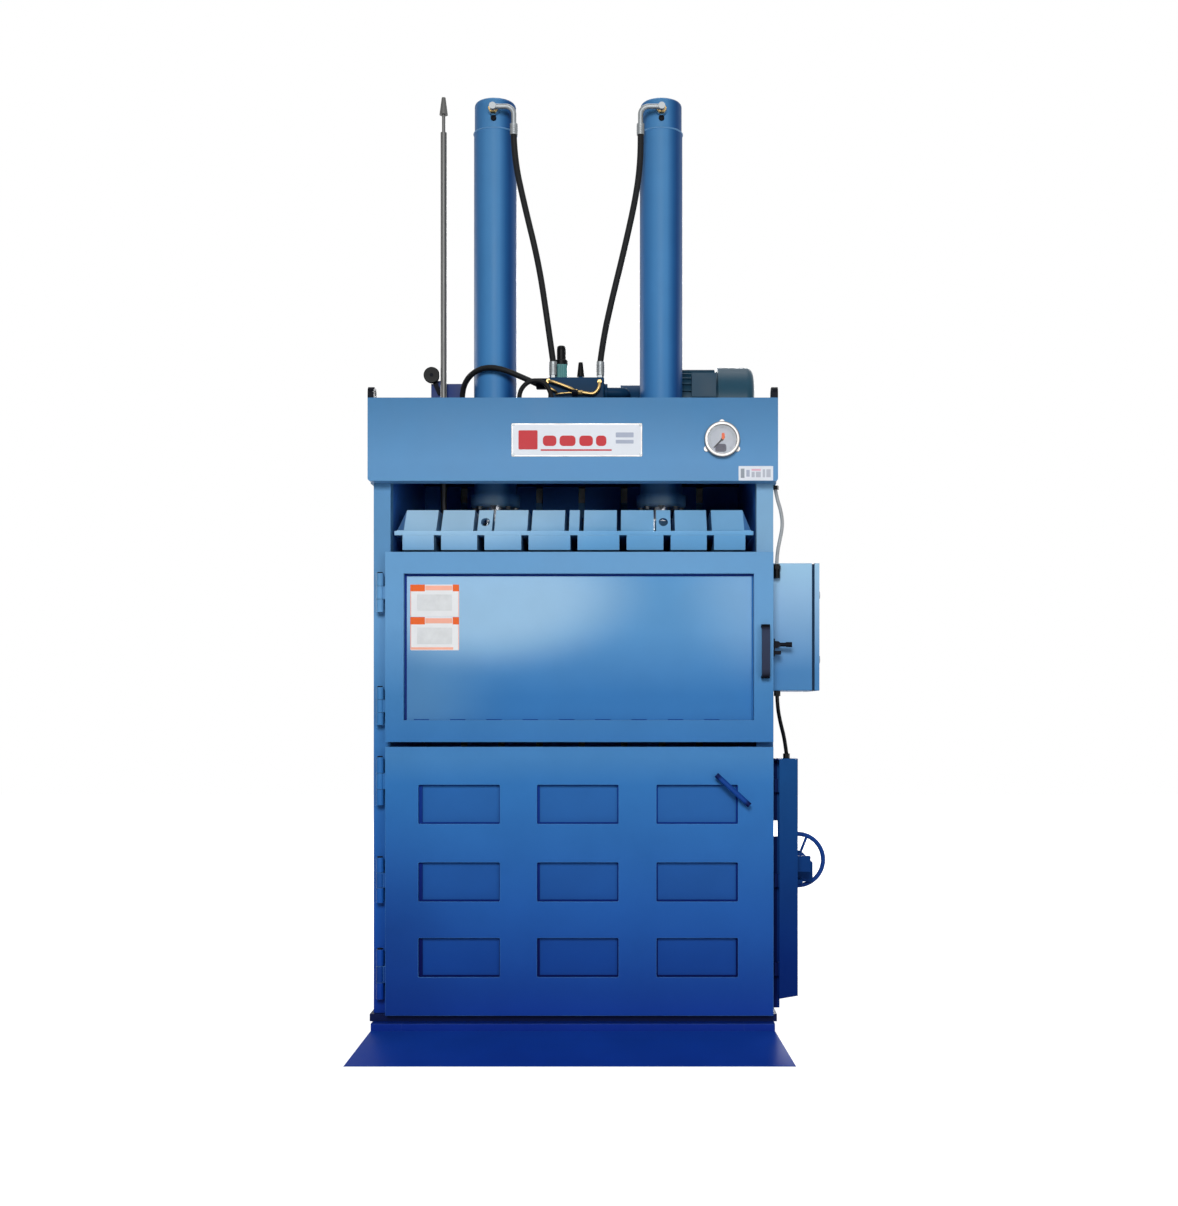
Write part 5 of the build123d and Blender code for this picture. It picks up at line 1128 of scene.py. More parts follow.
@dataclass
class BodyAndBase:
    """Welded chamber, posts, base and ramp, with the stitch welds on the side ribs."""

    rib_levels: tuple[float, ...] = RIB_LEVELS
    rib_half: float = 0.030
    plate_x: float = 0.608
    rib_ends: Span = (-0.388, 0.388)
    first_stitch: float = 0.02
    stitch: float = 0.05
    stitch_pitch: float = 0.155
    bead: float = 0.003
    earth_stud: Point = (0.655, 0.420, 0.200)

    def build(self, kit: Kit) -> None:
        """Dress the solids and lay the welds.

        Args:
            kit: The trees for welds and screws.
        """
        dress(ENAMEL, "base_frame", "side_frames", "rear_beams")
        dress(POST, "front_posts")
        dress(RAMP, "ramp_plate")
        dress(WALLS, "chamber_walls")
        # The chamber's floor is in the dark navy enamel, as painted shade
        dress(NAVY, "chamber_floor")
        dress(BLACK_STEEL, "hinge_pins")
        for side, name in ((-1, "left"), (1, "right")):
            stitches = []
            x = side * self.plate_x
            for z in [level + edge for level in self.rib_levels for edge in (-self.rib_half, self.rib_half)]:
                y = self.rib_ends[0] + self.first_stitch
                while y + self.stitch < self.rib_ends[1]:
                    stitches.append([(x, y, z), (x, y + self.stitch, z)])
                    y += self.stitch_pitch
            kit.ripples.grow(f"rib_welds_{name}", stitches, Body.FRAME, WELD, smooth=True, Radius=self.bead,
                             Pitch=0.006)
        kit.screws.grow("earth_stud", [[self.earth_stud]], Body.FRAME, BRASS, Across=0.017, Height=0.012,
                        Washer=0.003, Facing=Facing.RIGHT.value)


@dataclass
class StrapGuides:
    """Galvanised channels on the rear wall that lead the tying straps from slot to slot."""

    slots_x: tuple[float, ...] = (-0.4505, -0.3075, -0.162, 0.0, 0.162, 0.3075, 0.4505)
    wall_y: float = 0.400
    ends_z: Span = (0.104, 1.950)
    beam_levels: tuple[float, ...] = RIB_LEVELS
    beam_half: float = 0.030
    shortest: float = 0.02

    def build(self, kit: Kit) -> None:
        """Stand one length of channel behind every slot, between each two beams.

        Args:
            kit: The tree for channels.
        """
        edges = [self.ends_z[0]]
        for level in self.beam_levels:
            edges += [level - self.beam_half, level + self.beam_half]
        edges.append(self.ends_z[1])
        spans = [(low, high) for low, high in zip(edges[0::2], edges[1::2]) if high - low > self.shortest]
        points = [(x, self.wall_y, (low + high) / 2) for x in self.slots_x for low, high in spans]
        carrier = bpy.data.meshes.new("strap_guides")
        carrier.from_pydata(points, [], [])
        tall = carrier.attributes.new("tall", "FLOAT", "POINT")
        tall.data.foreach_set("value", [high - low for _ in self.slots_x for low, high in spans])
        kit.channels.grow("strap_guides", carrier, Body.FRAME, GALVANISED)


@dataclass
class Crown:
    """Fascia with its bare name plate and label, crown panels, deck and eyes."""

    face_y: float = -0.510
    plate_centre: Span = (0.013, 1.9715)
    plate_size: Span = (0.424, 0.108)
    plate_thick: float = 0.0015
    plate_rim: float = 0.004
    rivet_inset: float = 0.006
    # Name, offset from the plate's middle, size, ink and corner radius
    plate_prints: tuple[tuple[str, Span, Span, Finish, float], ...] = (
        ("block", (-0.158, 0.0), (0.062, 0.062), RED_INK, 0.004),
        ("bar_0", (-0.088, -0.003), (0.044, 0.034), RED_INK, 0.012),
        ("bar_1", (-0.030, -0.003), (0.052, 0.034), RED_INK, 0.012),
        ("bar_2", (0.030, -0.003), (0.044, 0.034), RED_INK, 0.012),
        ("bar_3", (0.079, -0.003), (0.034, 0.034), RED_INK, 0.012),
        ("line", (-0.002, -0.033), (0.230, 0.005), RED_INK, 0.0),
        ("tag", (0.155, 0.016), (0.058, 0.016), BLUE_INK, 0.002),
        ("tag_low", (0.155, -0.006), (0.058, 0.012), BLUE_INK, 0.002),
    )
    label_centre: Span = (0.593, 1.8635)
    label_size: Span = (0.112, 0.047)
    label_thick: float = 0.0008
    # Offset from the label's middle, size and ink
    label_prints: tuple[tuple[Span, Span, Finish], ...] = (
        ((-0.0430, 0.0), (0.012, 0.030), GREY_INK), ((-0.0255, 0.0), (0.011, 0.022), BLUE_INK),
        ((0.001, 0.011), (0.030, 0.006), PINK_INK), ((-0.009, -0.004), (0.010, 0.018), PALE_INK),
        ((0.008, -0.004), (0.016, 0.018), PALE_INK), ((0.026, 0.0), (0.008, 0.026), PALE_INK),
        ((0.041, 0.0), (0.014, 0.026), PALE_INK),
    )
    side_x: float = 0.665
    rear_y: float = 0.460
    bolt_rows_y: tuple[float, ...] = (-0.36, -0.12, 0.12, 0.36)
    bolt_rows_z: Span = (1.872, 2.072)
    rear_rows_x: tuple[float, ...] = (-0.56, -0.28, 0.0, 0.28, 0.56)
    rear_rows_z: Span = (1.985, 2.072)

    def lay(self, name: str, middle: Span, size: Span, finish: Finish, lift: float = 0.0,
            thick: float = INK, corner: float = 0.0) -> None:
        """Lay one flat plate or printed field on the fascia.

        Args:
            name: The piece's name.
            middle: Its X and Z.
            size: Its width and height.
            finish: What it is made of.
            lift: How far its back stands off the fascia.
            thick: Its thickness.
            corner: Radius of its corners.
        """
        back = (middle[0], self.face_y - lift, middle[1])
        settle(sheet_plate(name, back, size, thick, Facing.FRONT, corner), Body.FRAME, finish)

    def build(self, kit: Kit) -> None:
        """Dress the crown, bolt its panels and put its plates on.

        Args:
            kit: The tree for screws and rivets.
        """
        dress(FASCIA, "crown_fascia", "crown_panels")
        # The cylinder plate and the deck are in darker copies of the enamel, as painted shade
        dress(NAVY, "cylinder_plate")
        dress(DEEP, "crown_deck")
        dress(BLACK_STEEL, "lifting_eyes")
        left, right = ([[(x, y, z)] for y in self.bolt_rows_y for z in self.bolt_rows_z]
                       for x in (-self.side_x, self.side_x))
        rear = [[(x, self.rear_y, z)] for x in self.rear_rows_x for z in self.rear_rows_z]
        for name, facing, heads in (("left", Facing.LEFT, left), ("right", Facing.RIGHT, right),
                                    ("rear", Facing.BACK, rear)):
            kit.screws.grow(f"crown_bolts_{name}", heads, Body.FRAME, ENAMEL, Across=0.017, Height=0.008,
                            Washer=0.002, Facing=facing.value)
        x, z = self.plate_centre
        width, height = self.plate_size
        face = (width - 2 * self.plate_rim, height - 2 * self.plate_rim)
        self.lay("name_plate", (x, z), self.plate_size, GAUGE_STEEL, thick=self.plate_thick, corner=0.003)
        self.lay("name_plate_face", (x, z), face, WHITE_FILM, self.plate_thick)
        for name, (across, up), size, finish, corner in self.plate_prints:
            self.lay(f"name_plate_{name}", (x + across, z + up), size, finish,
                     self.plate_thick + INK, corner=corner)
        rivets = [[(x + sx * (width / 2 - self.rivet_inset), self.face_y - self.plate_thick,
                    z + sz * (height / 2 - self.rivet_inset))] for sx in (-1, 1) for sz in (-1, 1)]
        x, z = self.label_centre
        self.lay("small_label", (x, z), self.label_size, WHITE_FILM, thick=self.label_thick, corner=0.002)
        for index, ((across, up), size, finish) in enumerate(self.label_prints):
            self.lay(f"small_label_bar_{index}", (x + across, z + up), size, finish, self.label_thick)
        kit.screws.grow("name_plate_rivets", rivets, Body.FRAME, ZINC, Across=0.005, Height=0.0012,
                        Washer=0.0004, Sides=12)


@dataclass
class Cylinders:
    """Barrels, caps, glands and rods of the two hydraulic cylinders."""

    centres_x: Span = (-0.296, 0.296)
    joint_z: float = 3.150
    tube_radius: float = 0.0755
    cap_radius: float = 0.0735
    plug_z: float = 3.183
    plug_profile: Profile = ((0.0, -0.004), (0.010, -0.004), (0.010, 0.006), (0.0085, 0.0075),
                             (0.0055, 0.0075), (0.0055, 0.003), (0.0, 0.003))
    port_y: float = -0.0835
    port_z: float = 3.210
    port_size: Span = (0.030, 0.020)
    gland_z: float = 1.817
    gland_bolts: int = 8
    bolt_circle: float = 0.072

    def build(self, kit: Kit) -> None:
        """Dress the cylinders, weld the caps on and screw the glands up.

        Args:
            kit: The trees for welds and screws.
        """
        dress(BARREL, "cylinder_tubes", "cylinder_ends")
        dress(CHROME, "piston_rods")
        seams, heads = [], []
        for side, x in zip(("left", "right"), self.centres_x):
            port = hex_nut(f"{side}_port_union", (x, self.port_y, self.port_z), Facing.FRONT, *self.port_size)
            settle(port, Body.FRAME, BRASS)
            plug = lathe(f"{side}_bleed_plug", self.plug_profile, (x, -self.cap_radius, self.plug_z),
                         Facing.FRONT, sides=24)
            settle(plug, Body.FRAME, BLACK_STEEL)
            seams.append(circle_path((x, 0.0, self.joint_z), self.tube_radius, Facing.UP))
            heads += [[p] for p in circle_path((x, 0.0, self.gland_z), self.bolt_circle, Facing.DOWN,
                                               self.gland_bolts)]
        kit.ripples.grow("cap_welds", lines_mesh("cap_welds_paths", seams, closed=True), Body.FRAME, WELD,
                         smooth=True, Radius=0.003, Pitch=0.007)
        kit.screws.grow("gland_screws", heads, Body.FRAME, ZINC, Across=0.013, Height=0.009, Washer=0.0015,
                        Facing=Facing.DOWN.value)


@dataclass
class Platen:
    """Pressing plate with its bars and ribs, the rod pins and the trip rod."""

    foot_y: float = -0.409
    foot_z: float = 1.688
    middle_rib: Span = (-0.017, 0.017)
    side_ribs: tuple[Span, ...] = ((0.032, 0.141), (0.155, 0.264), (0.334, 0.43975), (0.45625, 0.585))

    def build(self, kit: Kit) -> None:
        """Dress the platen and weld the ribs down along their front feet.

        Args:
            kit: The tree for welds.
        """
        dress(PALE, "platen_plate", "press_bars")
        dress(RIBS, "platen_ribs")
        dress(ZINC, "rod_pins")
        dress(BARE_BAR, "trip_rod")
        ribs = [self.middle_rib]
        ribs += [(side * low, side * high) for low, high in self.side_ribs for side in (-1, 1)]
        seams = [[(x, self.foot_y, self.foot_z) for x in ends] for ends in ribs]
        kit.ripples.grow("rib_foot_welds", seams, Body.PLATEN, PALE, smooth=True, Radius=0.003, Pitch=0.006)


@dataclass
class PowerPack:
    """Oil tank, motor with its fan cowl, pump, valve block and limit switch."""

    # Name, diameter and control points
    pipes: tuple[tuple[str, float, tuple[Point, ...]], ...] = (
        ("upper_brass_pipe", 0.010, (
            (-0.099, -0.141, 2.241), (-0.094, -0.158, 2.239), (-0.070, -0.162, 2.231),
            (-0.030, -0.162, 2.216), (-0.006, -0.158, 2.206), (-0.002, -0.141, 2.204))),
        ("middle_brass_pipe", 0.008, (
            (-0.106, -0.141, 2.224), (-0.103, -0.156, 2.221), (-0.088, -0.158, 2.211),
            (-0.074, -0.156, 2.204), (-0.071, -0.141, 2.203))),
        ("lower_brass_pipe", 0.006, (
            (-0.074, -0.141, 2.194), (-0.071, -0.155, 2.194), (-0.050, -0.157, 2.196),
            (-0.026, -0.157, 2.198), (-0.017, -0.157, 2.198))),
        ("right_brass_pipe", 0.011, (
            (0.018, -0.157, 2.199), (0.034, -0.157, 2.196), (0.056, -0.157, 2.193), (0.070, -0.157, 2.203),
            (0.078, -0.157, 2.218), (0.079, -0.154, 2.232), (0.079, -0.139, 2.238))),
    )
    suction_diameter: float = 0.036
    suction: tuple[Point, ...] = ((0.092, -0.084, 2.213), (0.140, -0.084, 2.213), (0.160, -0.078, 2.214),
                                  (0.169, -0.058, 2.216), (0.169, 0.080, 2.228), (0.169, 0.150, 2.231))
    # Name, middle of the back, facing, width across the flats, length and finish
    nuts: tuple[tuple[str, Point, Facing, float, float, Finish], ...] = (
        ("brass_union_0", (-0.099, -0.140, 2.241), Facing.FRONT, 0.015, 0.010, BRASS),
        ("brass_union_1", (-0.106, -0.140, 2.224), Facing.FRONT, 0.015, 0.010, BRASS),
        ("brass_union_2", (-0.002, -0.140, 2.204), Facing.FRONT, 0.015, 0.010, BRASS),
        ("brass_union_3", (0.079, -0.140, 2.238), Facing.FRONT, 0.015, 0.010, BRASS),
        ("pipe_tee", (-0.018, -0.157, 2.1985), Facing.RIGHT, 0.018, 0.022, BLACK_STEEL),
        ("pipe_tee_union", (0.004, -0.157, 2.1985), Facing.RIGHT, 0.014, 0.016, BRASS),
        ("rod_hose_union", (-0.143, -0.110, 2.238), Facing.RIGHT, 0.036, 0.043, BLACK_STEEL),
    )
    # Name, middle of the foot, facing, facets, finish and profile
    turned: tuple[tuple[str, Point, Facing, int, Finish, Profile], ...] = (
        ("pipe_tee_foot", (-0.008, -0.140, 2.1985), Facing.FRONT, 16, BLACK_STEEL,
         ((0.0, -0.002), (0.006, -0.002), (0.006, 0.017), (0.0, 0.017))),
        ("suction_flange", (0.095, -0.084, 2.213), Facing.RIGHT, 48, VALVE,
         ((0.0, 0.0), (0.029, 0.0), (0.030, 0.001), (0.030, 0.010), (0.029, 0.011), (0.0, 0.011))),
        ("breather_cap", (-0.170, 0.285, 2.078), Facing.UP, 40, BLACK_PLASTIC,
         ((0.0, 0.0), (0.021, 0.0), (0.021, 0.018), (0.034, 0.020), (0.036, 0.024), (0.036, 0.054),
          (0.033, 0.060), (0.0, 0.062))),
        ("coil_cap", (-0.057, -0.074, 2.3112), Facing.UP, 32, BLACK_PLASTIC,
         ((0.0, 0.0), (0.0225, 0.0), (0.0225, 0.0143), (0.020, 0.0178), (0.0160, 0.0188), (0.0160, 0.0528),
          (0.0145, 0.0648), (0.0110, 0.0678), (0.0, 0.0683))),
    )
    coil_front_y: float = -0.095
    coil_x: Span = (-0.078, -0.036)
    coil_z: Span = (2.260, 2.309)
    coil_ribs: int = 6
    coil_margin: float = 0.003
    ferrules: tuple[Point, ...] = ((-0.222, -0.110, 3.129), (0.222, -0.110, 3.129), (-0.084, -0.110, 2.292),
                                   (0.081, -0.110, 2.292))
    ferrule_radius: float = 0.0136
    crimp_steps: tuple[float, ...] = (-0.011, -0.004, 0.003, 0.010)
    cowl_centre: Point = (0.639, 0.230, 2.232)
    # Radius of each ring and how many slots it has
    grille: tuple[tuple[float, int], ...] = ((0.035, 8), (0.060, 12), (0.085, 16))

    def build(self, kit: Kit) -> None:
        """Dress the power pack, pipe it up and cut the cowl's grille.

        Args:
            kit: The trees for ribs, crimps and slots.
        """
        dress(NAVY, "oil_tank")
        dress(VALVE, "valve_block", "pump")
        dress(MOTOR, "motor_body")
        dress(COWL, "motor_fan_cowl")
        dress(COIL, "solenoid_coil")
        dress(BLACK_PLASTIC, "relief_knob", "limit_roller")
        dress(ZINC, "hose_fittings")
        dress(BLACK_STEEL, "limit_switch_arm")
        dress(SWITCH, "limit_switch")
        for name, diameter, route in self.pipes:
            settle(pipe(name, route, diameter), Body.FRAME, BRASS, smooth=True)
        settle(pipe("suction_pipe", self.suction, self.suction_diameter), Body.FRAME, VALVE)
        for name, centre, facing, across, length, finish in self.nuts:
            settle(hex_nut(name, centre, facing, across, length), Body.FRAME, finish)
        for name, centre, facing, sides, finish, profile in self.turned:
            settle(lathe(name, profile, centre, facing, sides), Body.FRAME, finish)
        left, right = self.coil_x[0] + self.coil_margin, self.coil_x[1] - self.coil_margin
        pitch = (right - left) / (self.coil_ribs - 1)
        ribs = [[(left + index * pitch, self.coil_front_y, z) for z in self.coil_z]
                for index in range(self.coil_ribs)]
        kit.ripples.grow("coil_ribs", ribs, Body.FRAME, COIL, Radius=0.0018, Ripple=0.0, Pitch=0.05)
        rings = [circle_path((x, y, z + step), self.ferrule_radius, Facing.UP, 20)
                 for x, y, z in self.ferrules for step in self.crimp_steps]
        kit.ripples.grow("ferrule_crimps", lines_mesh("crimp_paths", rings, closed=True), Body.FRAME, ZINC,
                         smooth=True, Radius=0.0011, Ripple=0.0, Pitch=0.02)
        for ring, (radius, count) in enumerate(self.grille):
            kit.spokes.grow(f"cowl_grille_{ring}", ONE_POINT, Body.FRAME, BLACK_PLASTIC,
                            Count=count + 1, Radius=radius, Length=0.014, Width=0.008, Depth=0.001,
                            Middle=self.cowl_centre, Turn=(0.0, 0.0, math.pi / 2))


@dataclass
class FeedDoor:
    """Upper door with its recessed panel, two notice cards, painted shadow lines round the panel and stitch
    welds.
    """

    panel_y: float = -0.486
    panel_x: Span = (-0.548, 0.587)
    panel_z: Span = (1.064, 1.539)
    card_x: Span = (-0.530, -0.371)
    card_thick: float = 0.0006
    # Name, low and high edge, and height of the coloured band
    cards: tuple[tuple[str, float, float, float], ...] = (
        ("upper_card", 1.4000, 1.5050, 0.022), ("lower_card", 1.2910, 1.3992, 0.024),
    )
    sealant: float = 0.007
    first_stitch: float = 0.03
    stitch: float = 0.05
    stitch_pitch: float = 0.118

    def print_card(self, name: str, low: float, high: float, band: float) -> None:
        """Stick one card on and print its plain fields.

        Args:
            name: The card's name.
            low: Its lower edge.
            high: Its upper edge.
            band: Height of the coloured band along its top.
        """
        left, right = self.card_x
        width, under = right - left, high - band
        card = sheet_plate(name, ((left + right) / 2, self.panel_y, (low + high) / 2), (width, high - low),
                           self.card_thick, Facing.FRONT, 0.004)
        settle(card, Body.FEED_DOOR, CARD)
        inset, margin = band * 0.15, 0.002
        # Part, start and end as shares of the width, foot, top and ink
        fields = [("left", 0.0, 0.30, under, high, ORANGE_INK),
                  ("mid", 0.31, 0.86, under + inset, high - inset, SALMON_INK),
                  ("right", 0.87, 1.0, under, high, ORANGE_INK),
                  ("panel", 0.14, 0.86, low + 0.020, under - 0.010, PAPER_SHADE),
                  ("side_left", 0.0, 0.018, low + margin, under, SALMON_INK),
                  ("side_right", 0.985, 1.0, low + margin, under, SALMON_INK)]
        if name == "lower_card":
            fields.append(("foot", 0.02, 0.88, low + margin, low + 0.010, SALMON_INK))
        for part, start, end, bottom, top, finish in fields:
            centre = (left + width * (start + end) / 2, self.panel_y - self.card_thick, (bottom + top) / 2)
            size = (width * (end - start), top - bottom)
            strip = sheet_plate(f"{name}_{part}", centre, size, INK, Facing.FRONT)
            settle(strip, Body.FEED_DOOR, finish)

    def build(self, kit: Kit) -> None:
        """Dress the door, stick the cards on, lay painted shadow lines round the panel and weld it in.

        Args:
            kit: The tree for welds.
        """
        dress(ENAMEL, "feed_door_frame")
        dress(PANEL, "feed_door_panel")
        dress(GRIP, "feed_door_handle")
        for card in self.cards:
            self.print_card(*card)
        left, right = self.panel_x
        low, high = self.panel_z
        half = self.sealant / 2
        middle, tall = (low + high) / 2 - half, high - low - self.sealant
        # Painted shadow lines along the panel's top, left and right edges, where the frame shades the recess;
        # the right one is narrower and in a lighter blue
        for name, x, z, width, height, finish in (
            ("top", (left + right) / 2, high - half, right - left, self.sealant, NAVY),
            ("left", left + half, middle, self.sealant, tall, NAVY),
            ("right", right - half, middle, self.sealant * 0.7, tall, TRAY),
        ):
            bead = sheet_plate(f"panel_sealant_{name}", (x, self.panel_y, z), (width, height), 0.002,
                               Facing.FRONT)
            settle(bead, Body.FEED_DOOR, finish)
        stitches = []
        x = left + self.first_stitch
        while x + self.stitch < right:
            stitches.append([(x, self.panel_y, low), (x + self.stitch, self.panel_y, low)])
            x += self.stitch_pitch
        # The stitch welds are in the darker enamel, as painted shade along the panel's foot
        kit.ripples.grow("panel_welds", stitches, Body.FEED_DOOR, DEEP, smooth=True, Radius=0.003,
                         Pitch=0.006)


@dataclass
class BaleDoor:
    """Lower door with its nine windows, painted shadow round them and its slanting handle."""

    tray_y: float = -0.495
    columns: tuple[Span, ...] = ((-0.5005, -0.2365), (-0.1160, 0.1480), (0.2710, 0.5350))
    rows: tuple[Span, ...] = ((0.2310, 0.3580), (0.4760, 0.6030), (0.7275, 0.8545))
    bare_sides: tuple[Span, ...] = ((0.0120, 0.0030), (0.0080, 0.0040), (0.0045, 0.0055))
    bare_foot: float = 0.0050
    bare_head: float = 0.0035
    film: float = 0.0005

    def corners(self) -> bpy.types.Object:
        """Make dark strips round each window's tray, a painted shadow in its recess.

        Returns:
            The new object, not yet riding.
        """
        shape = bmesh.new()
        for (left, right), (near, far) in zip(self.columns, self.bare_sides):
            for low, high in self.rows:
                for x, z, width, height in (
                    (left, low, near, high - low), (right - far, low, far, high - low),
                    (left + near, low, right - left - near - far, self.bare_foot),
                    (left + near, high - self.bare_head, right - left - near - far, self.bare_head),
                ):
                    place = Matrix.Translation((x + width / 2, self.tray_y - self.film / 2, z + height / 2))
                    size = Matrix.Diagonal((width, self.film, height, 1.0))
                    bmesh.ops.create_cube(shape, size=1.0, matrix=place @ size)
        return placed("window_corners", shape)

    def build(self, kit: Kit) -> None:
        """Dress the door and lay the painted shadow round its windows.

        Args:
            kit: Not needed here.
        """
        dress(FACE, "bale_door_face")
        dress(TRAY, "bale_door_back")
        dress(BAR, "bale_door_handle")
        settle(self.corners(), Body.BALE_DOOR, SEAM)


@dataclass
class LatchAndLock:
    """Feed-door latch, and the cover, bar, bracket and handwheel of the bale-door lock."""

    screw_x: float = 0.754
    screw_z: float = 0.588
    thread_y: Span = (-0.395, -0.316)

    def build(self, kit: Kit) -> None:
        """Dress the latch and the lock, and cut the screw's thread.

        Args:
            kit: The tree for threads.
        """
        dress(BLACK_STEEL, "latch_base", "latch_lever")
        dress(LOCK, "lock_cover", "lock_bracket", "lock_bar")
        # The handwheel is in the darker enamel, as painted shade
        dress(DEEP, "handwheel")
        path = [[(self.screw_x, y, self.screw_z) for y in self.thread_y]]
        kit.ripples.grow("screw_thread", path, Body.LOCK_BAR, ZINC, smooth=True, Radius=0.0143, Ripple=0.05,
                         Pitch=0.006, Sides=32, Steps=6.0)


@dataclass
class Cabinet:
    """Control box with its door, quarter-turn locks, seal, buttons and switchgear."""

    door_x: float = 0.815
    lock_y: float = -0.352
    locks_z: Span = (1.265, 1.480)
    lock_profile: Profile = ((0.0, -0.002), (0.0135, -0.002), (0.0135, 0.003), (0.0115, 0.0045),
                             (0.0045, 0.0045), (0.0045, 0.0025), (0.0, 0.0025))
    button_y: float = -0.120
    estop_z: float = 1.500
    collar_profile: Profile = ((0.0225, 0.0), (0.0300, 0.0), (0.0300, 0.0014), (0.0225, 0.0014),
                               (0.0225, 0.0))
    legends_z: Span = (1.446, 1.376)
    legend_size: Span = (0.034, 0.011)

    def build(self, kit: Kit) -> None:
        """Dress the control box, and add its locks, the stop button's collar and blank legend plates.

        Args:
            kit: Not needed here.
        """
        for name, z in zip(("low", "high"), self.locks_z):
            lock = lathe(f"cabinet_lock_{name}", self.lock_profile, (self.door_x, self.lock_y, z),
                         Facing.RIGHT, sides=32)
            settle(lock, Body.CABINET_DOOR, ZINC)
        middle = (self.door_x, self.button_y, self.estop_z)
        ring = lathe("estop_collar", self.collar_profile, middle, Facing.RIGHT)
        settle(ring, Body.CABINET_DOOR, YELLOW)
        for index, z in enumerate(self.legends_z):
            plate = sheet_plate(f"blank_legend_{index}", (self.door_x, self.button_y, z), self.legend_size,
                                0.0008, Facing.RIGHT, 0.002)
            settle(plate, Body.CABINET_DOOR, GAUGE_STEEL)
        dress(CABINET, "cabinet_box", "cabinet_door")
        dress(SEAL, "cabinet_gasket")
        dress(GREEN, "up_button")
        dress(BLACK_PLASTIC, "down_button", "cable_glands")
        dress(RED, "estop_button")
        dress(GREY_PLASTIC, "switchgear")


@dataclass
class Gauge:
    """Pressure gauge with its printed dial, glass and set pointer."""

    centre: Span = (0.483, 1.971)
    glass_y: float = -0.530
    glass_size: Span = (0.0475, 0.0015)
    dial_y: float = -0.521
    dial_radius: float = 0.047
    card: float = 0.0006
    dial_start: float = 225.0
    dial_sweep: float = -270.0
    ticks: int = 41
    tick_lift: float = 0.0002
    # Name, offset, lift off the dial's foot, size, thickness, corner and finish
    prints: tuple[tuple[str, Span, float, Span, float, float, Finish], ...] = (
        ("dial_lower_field", (-0.004, -0.027), 0.0006, (0.036, 0.026), 0.0002, 0.008, DUSK_INK),
        ("set_pointer", (0.003, 0.010), 0.0052, (0.010, 0.021), 0.0006, 0.0048, ORANGE_INK),
    )

    def disc(self, name: str, y: float, radius: float, thick: float, finish: Finish) -> None:
        """Set a round disc in the gauge.

        Args:
            name: The piece's name.
            y: Where its back lies.
            radius: Its radius.
            thick: Its thickness.
            finish: What it is made of.
        """
        profile = ((0.0, 0.0), (radius, 0.0), (radius, thick), (0.0, thick))
        settle(lathe(name, profile, (self.centre[0], y, self.centre[1]), Facing.FRONT), Body.FRAME, finish)

    def build(self, kit: Kit) -> None:
        """Dress the gauge, print the dial and close it with glass.

        Args:
            kit: The tree for ticks.
        """
        dress(GAUGE_STEEL, "gauge_case")
        dress(BLACK_PLASTIC, "gauge_needle")
        x, z = self.centre
        self.disc("dial_card", self.dial_y, self.dial_radius, self.card, DIAL)
        for name, (across, up), lift, size, thick, corner, finish in self.prints:
            back = (x + across, self.dial_y - lift, z + up)
            settle(sheet_plate(name, back, size, thick, Facing.FRONT, corner), Body.FRAME, finish)
        kit.spokes.grow("dial_ticks", ONE_POINT, Body.FRAME, BLACK_INK, Count=self.ticks,
                        Start=math.radians(self.dial_start), Sweep=math.radians(self.dial_sweep),
                        Radius=0.0385, Length=0.0052, Width=0.0008, Major_Every=10, Minor=0.6,
                        Middle=(x, self.dial_y - self.card - self.tick_lift, z))
        self.disc("gauge_lens", self.glass_y, *self.glass_size, GLASS)


# Studio


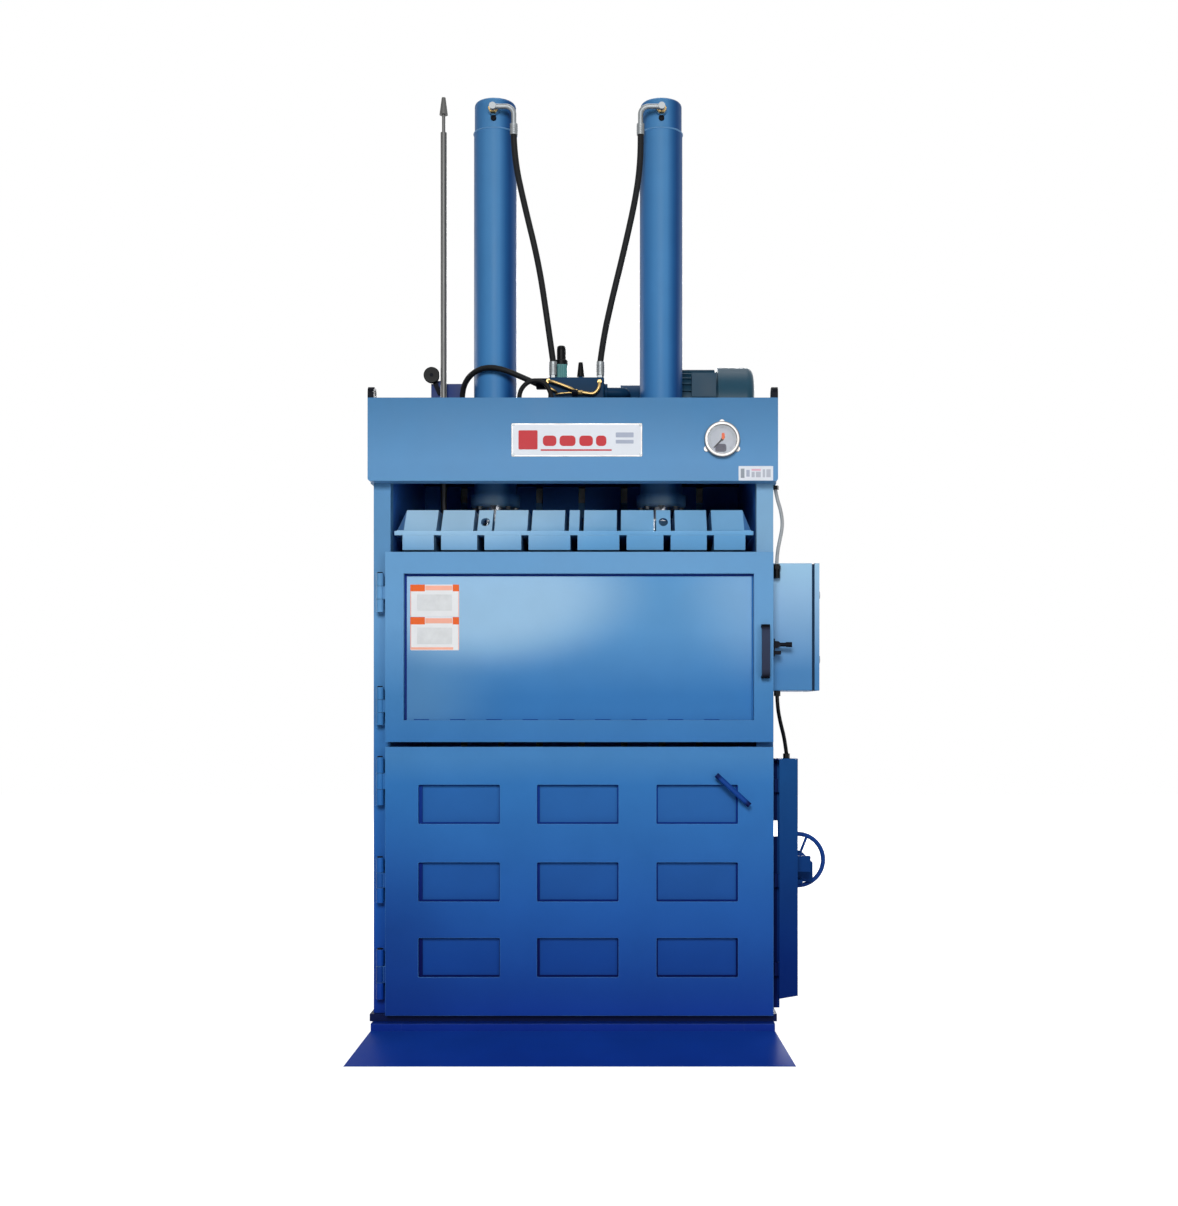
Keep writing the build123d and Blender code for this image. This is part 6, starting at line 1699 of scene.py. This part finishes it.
@dataclass
class Studio:
    """Pale floor, white surroundings and soft lamps at a plain level, the strongest in front."""

    ambient: float = 0.07
    floor_half: float = 14.0
    floor_drop: float = 0.0004
    floor_tone: str = "#c8c8c8"
    glow_levels: Span = (0.84, 1.0)
    glow_reach: Span = (0.9, 3.0)
    # Name, place, target, diameter and power in watts
    lamps: tuple[tuple[str, Point, Point, float, float], ...] = (
        ("key_front", (-0.4, -8.6, 4.1), (0.0, -0.4, 1.7), 2.4, 500.0),
        ("fill_right", (2.7, -7.8, 2.0), (0.0, -0.4, 1.2), 2.6, 110.0),
        ("top_soft", (0.3, 0.6, 6.2), (0.0, 0.0, 1.5), 3.2, 60.0),
        ("back_soft", (0.8, 8.6, 4.4), (0.0, 0.0, 1.5), 3.2, 420.0),
        ("side_left", (-7.6, 5.4, 3.4), (0.0, 0.0, 1.5), 3.0, 250.0),
        ("side_right", (7.6, 5.4, 3.0), (0.0, 0.0, 1.5), 3.0, 250.0),
    )

    def seen(self, tree: bpy.types.NodeTree) -> bpy.types.Node:
        """Tell where a camera, glossy or transmission ray looks from plain lighting.

        Args:
            tree: The material's or the world's tree.

        Returns:
            The node that gives one where it looks, else zero.
        """
        path = wire(tree, "ShaderNodeLightPath").outputs
        shine = wire(tree, MATH, {0: path["Is Camera Ray"], 1: path["Is Glossy Ray"]}, operation="MAXIMUM")
        return wire(tree, MATH, {0: shine, 1: path["Is Transmission Ray"]}, operation="MAXIMUM")

    def surround(self) -> None:
        """Make the surroundings white to look at, and dim as a light."""
        world = bpy.data.worlds.new("white_surroundings")
        bpy.context.scene.world = world
        world.use_nodes = True
        tree = world.node_tree
        tree.nodes.clear()
        level = wire(tree, RANGE, {"Value": self.seen(tree), "To Min": self.ambient, "To Max": 1.0})
        light = wire(tree, "ShaderNodeBackground", {"Color": (1, 1, 1, 1), "Strength": level})
        wire(tree, "ShaderNodeOutputWorld", {"Surface": light})

    def hang_lamps(self) -> None:
        """Hang each lamp and aim it at its target."""
        for name, place, target, size, power in self.lamps:
            data = bpy.data.lights.new(name, "AREA")
            data.shape = "DISK"
            data.size = size
            data.energy = power
            lamp = link(name, data)
            lamp.location = place
            lamp.rotation_euler = (Vector(target) - Vector(place)).to_track_quat("-Z", "Y").to_euler()
            lamp.visible_camera = False

    def floor_paint(self) -> bpy.types.Material:
        """Wire the matt floor, which glows white to look at, a little less near the machine.

        Returns:
            The new material.
        """
        material = bpy.data.materials.new("pale_floor")
        material.use_nodes = True
        tree = material.node_tree
        tree.nodes.clear()
        matt = wire(tree, "ShaderNodeBsdfDiffuse", {"Color": linear(self.floor_tone)})
        place = wire(tree, "ShaderNodeTexCoord").outputs["Object"]
        away = wire(tree, VECTORS, {0: place}, operation="LENGTH").outputs["Value"]
        near, far = self.glow_reach
        low, high = self.glow_levels
        level = wire(tree, RANGE, {"Value": away, "From Min": near, "From Max": far,
                                   "To Min": low, "To Max": high})
        glow = wire(tree, MATH, {0: self.seen(tree), 1: level}, operation="MULTIPLY")
        white = wire(tree, "ShaderNodeEmission", {"Color": (1, 1, 1, 1), "Strength": glow})
        both = wire(tree, "ShaderNodeAddShader", {0: matt, 1: white})
        wire(tree, "ShaderNodeOutputMaterial", {"Surface": both})
        return material

    def build(self) -> None:
        """Light the scene and lay the floor."""
        bpy.context.scene.view_settings.view_transform = "Standard"
        self.surround()
        self.hang_lamps()
        mesh = bpy.data.meshes.new("floor")
        half = self.floor_half
        square = ((-half, -half), (half, -half), (half, half), (-half, half))
        mesh.from_pydata([(x, y, -self.floor_drop) for x, y in square], [], [(0, 1, 2, 3)])
        mesh.materials.append(self.floor_paint())
        floor = link("floor", mesh)


def main() -> None:
    """Build everything in order."""
    logging.basicConfig(level=logging.INFO, format="%(message)s")
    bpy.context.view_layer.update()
    Camera().build()
    for cord in CORDS:
        cord.build()
    kit = Kit()
    for assembly in (BodyAndBase(), StrapGuides(), Crown(), Cylinders(), Platen(), PowerPack(), FeedDoor(),
                     BaleDoor(), LatchAndLock(), Cabinet(), Gauge()):
        assembly.build(kit)
    Studio().build()


if __name__ == "__main__":
    main()
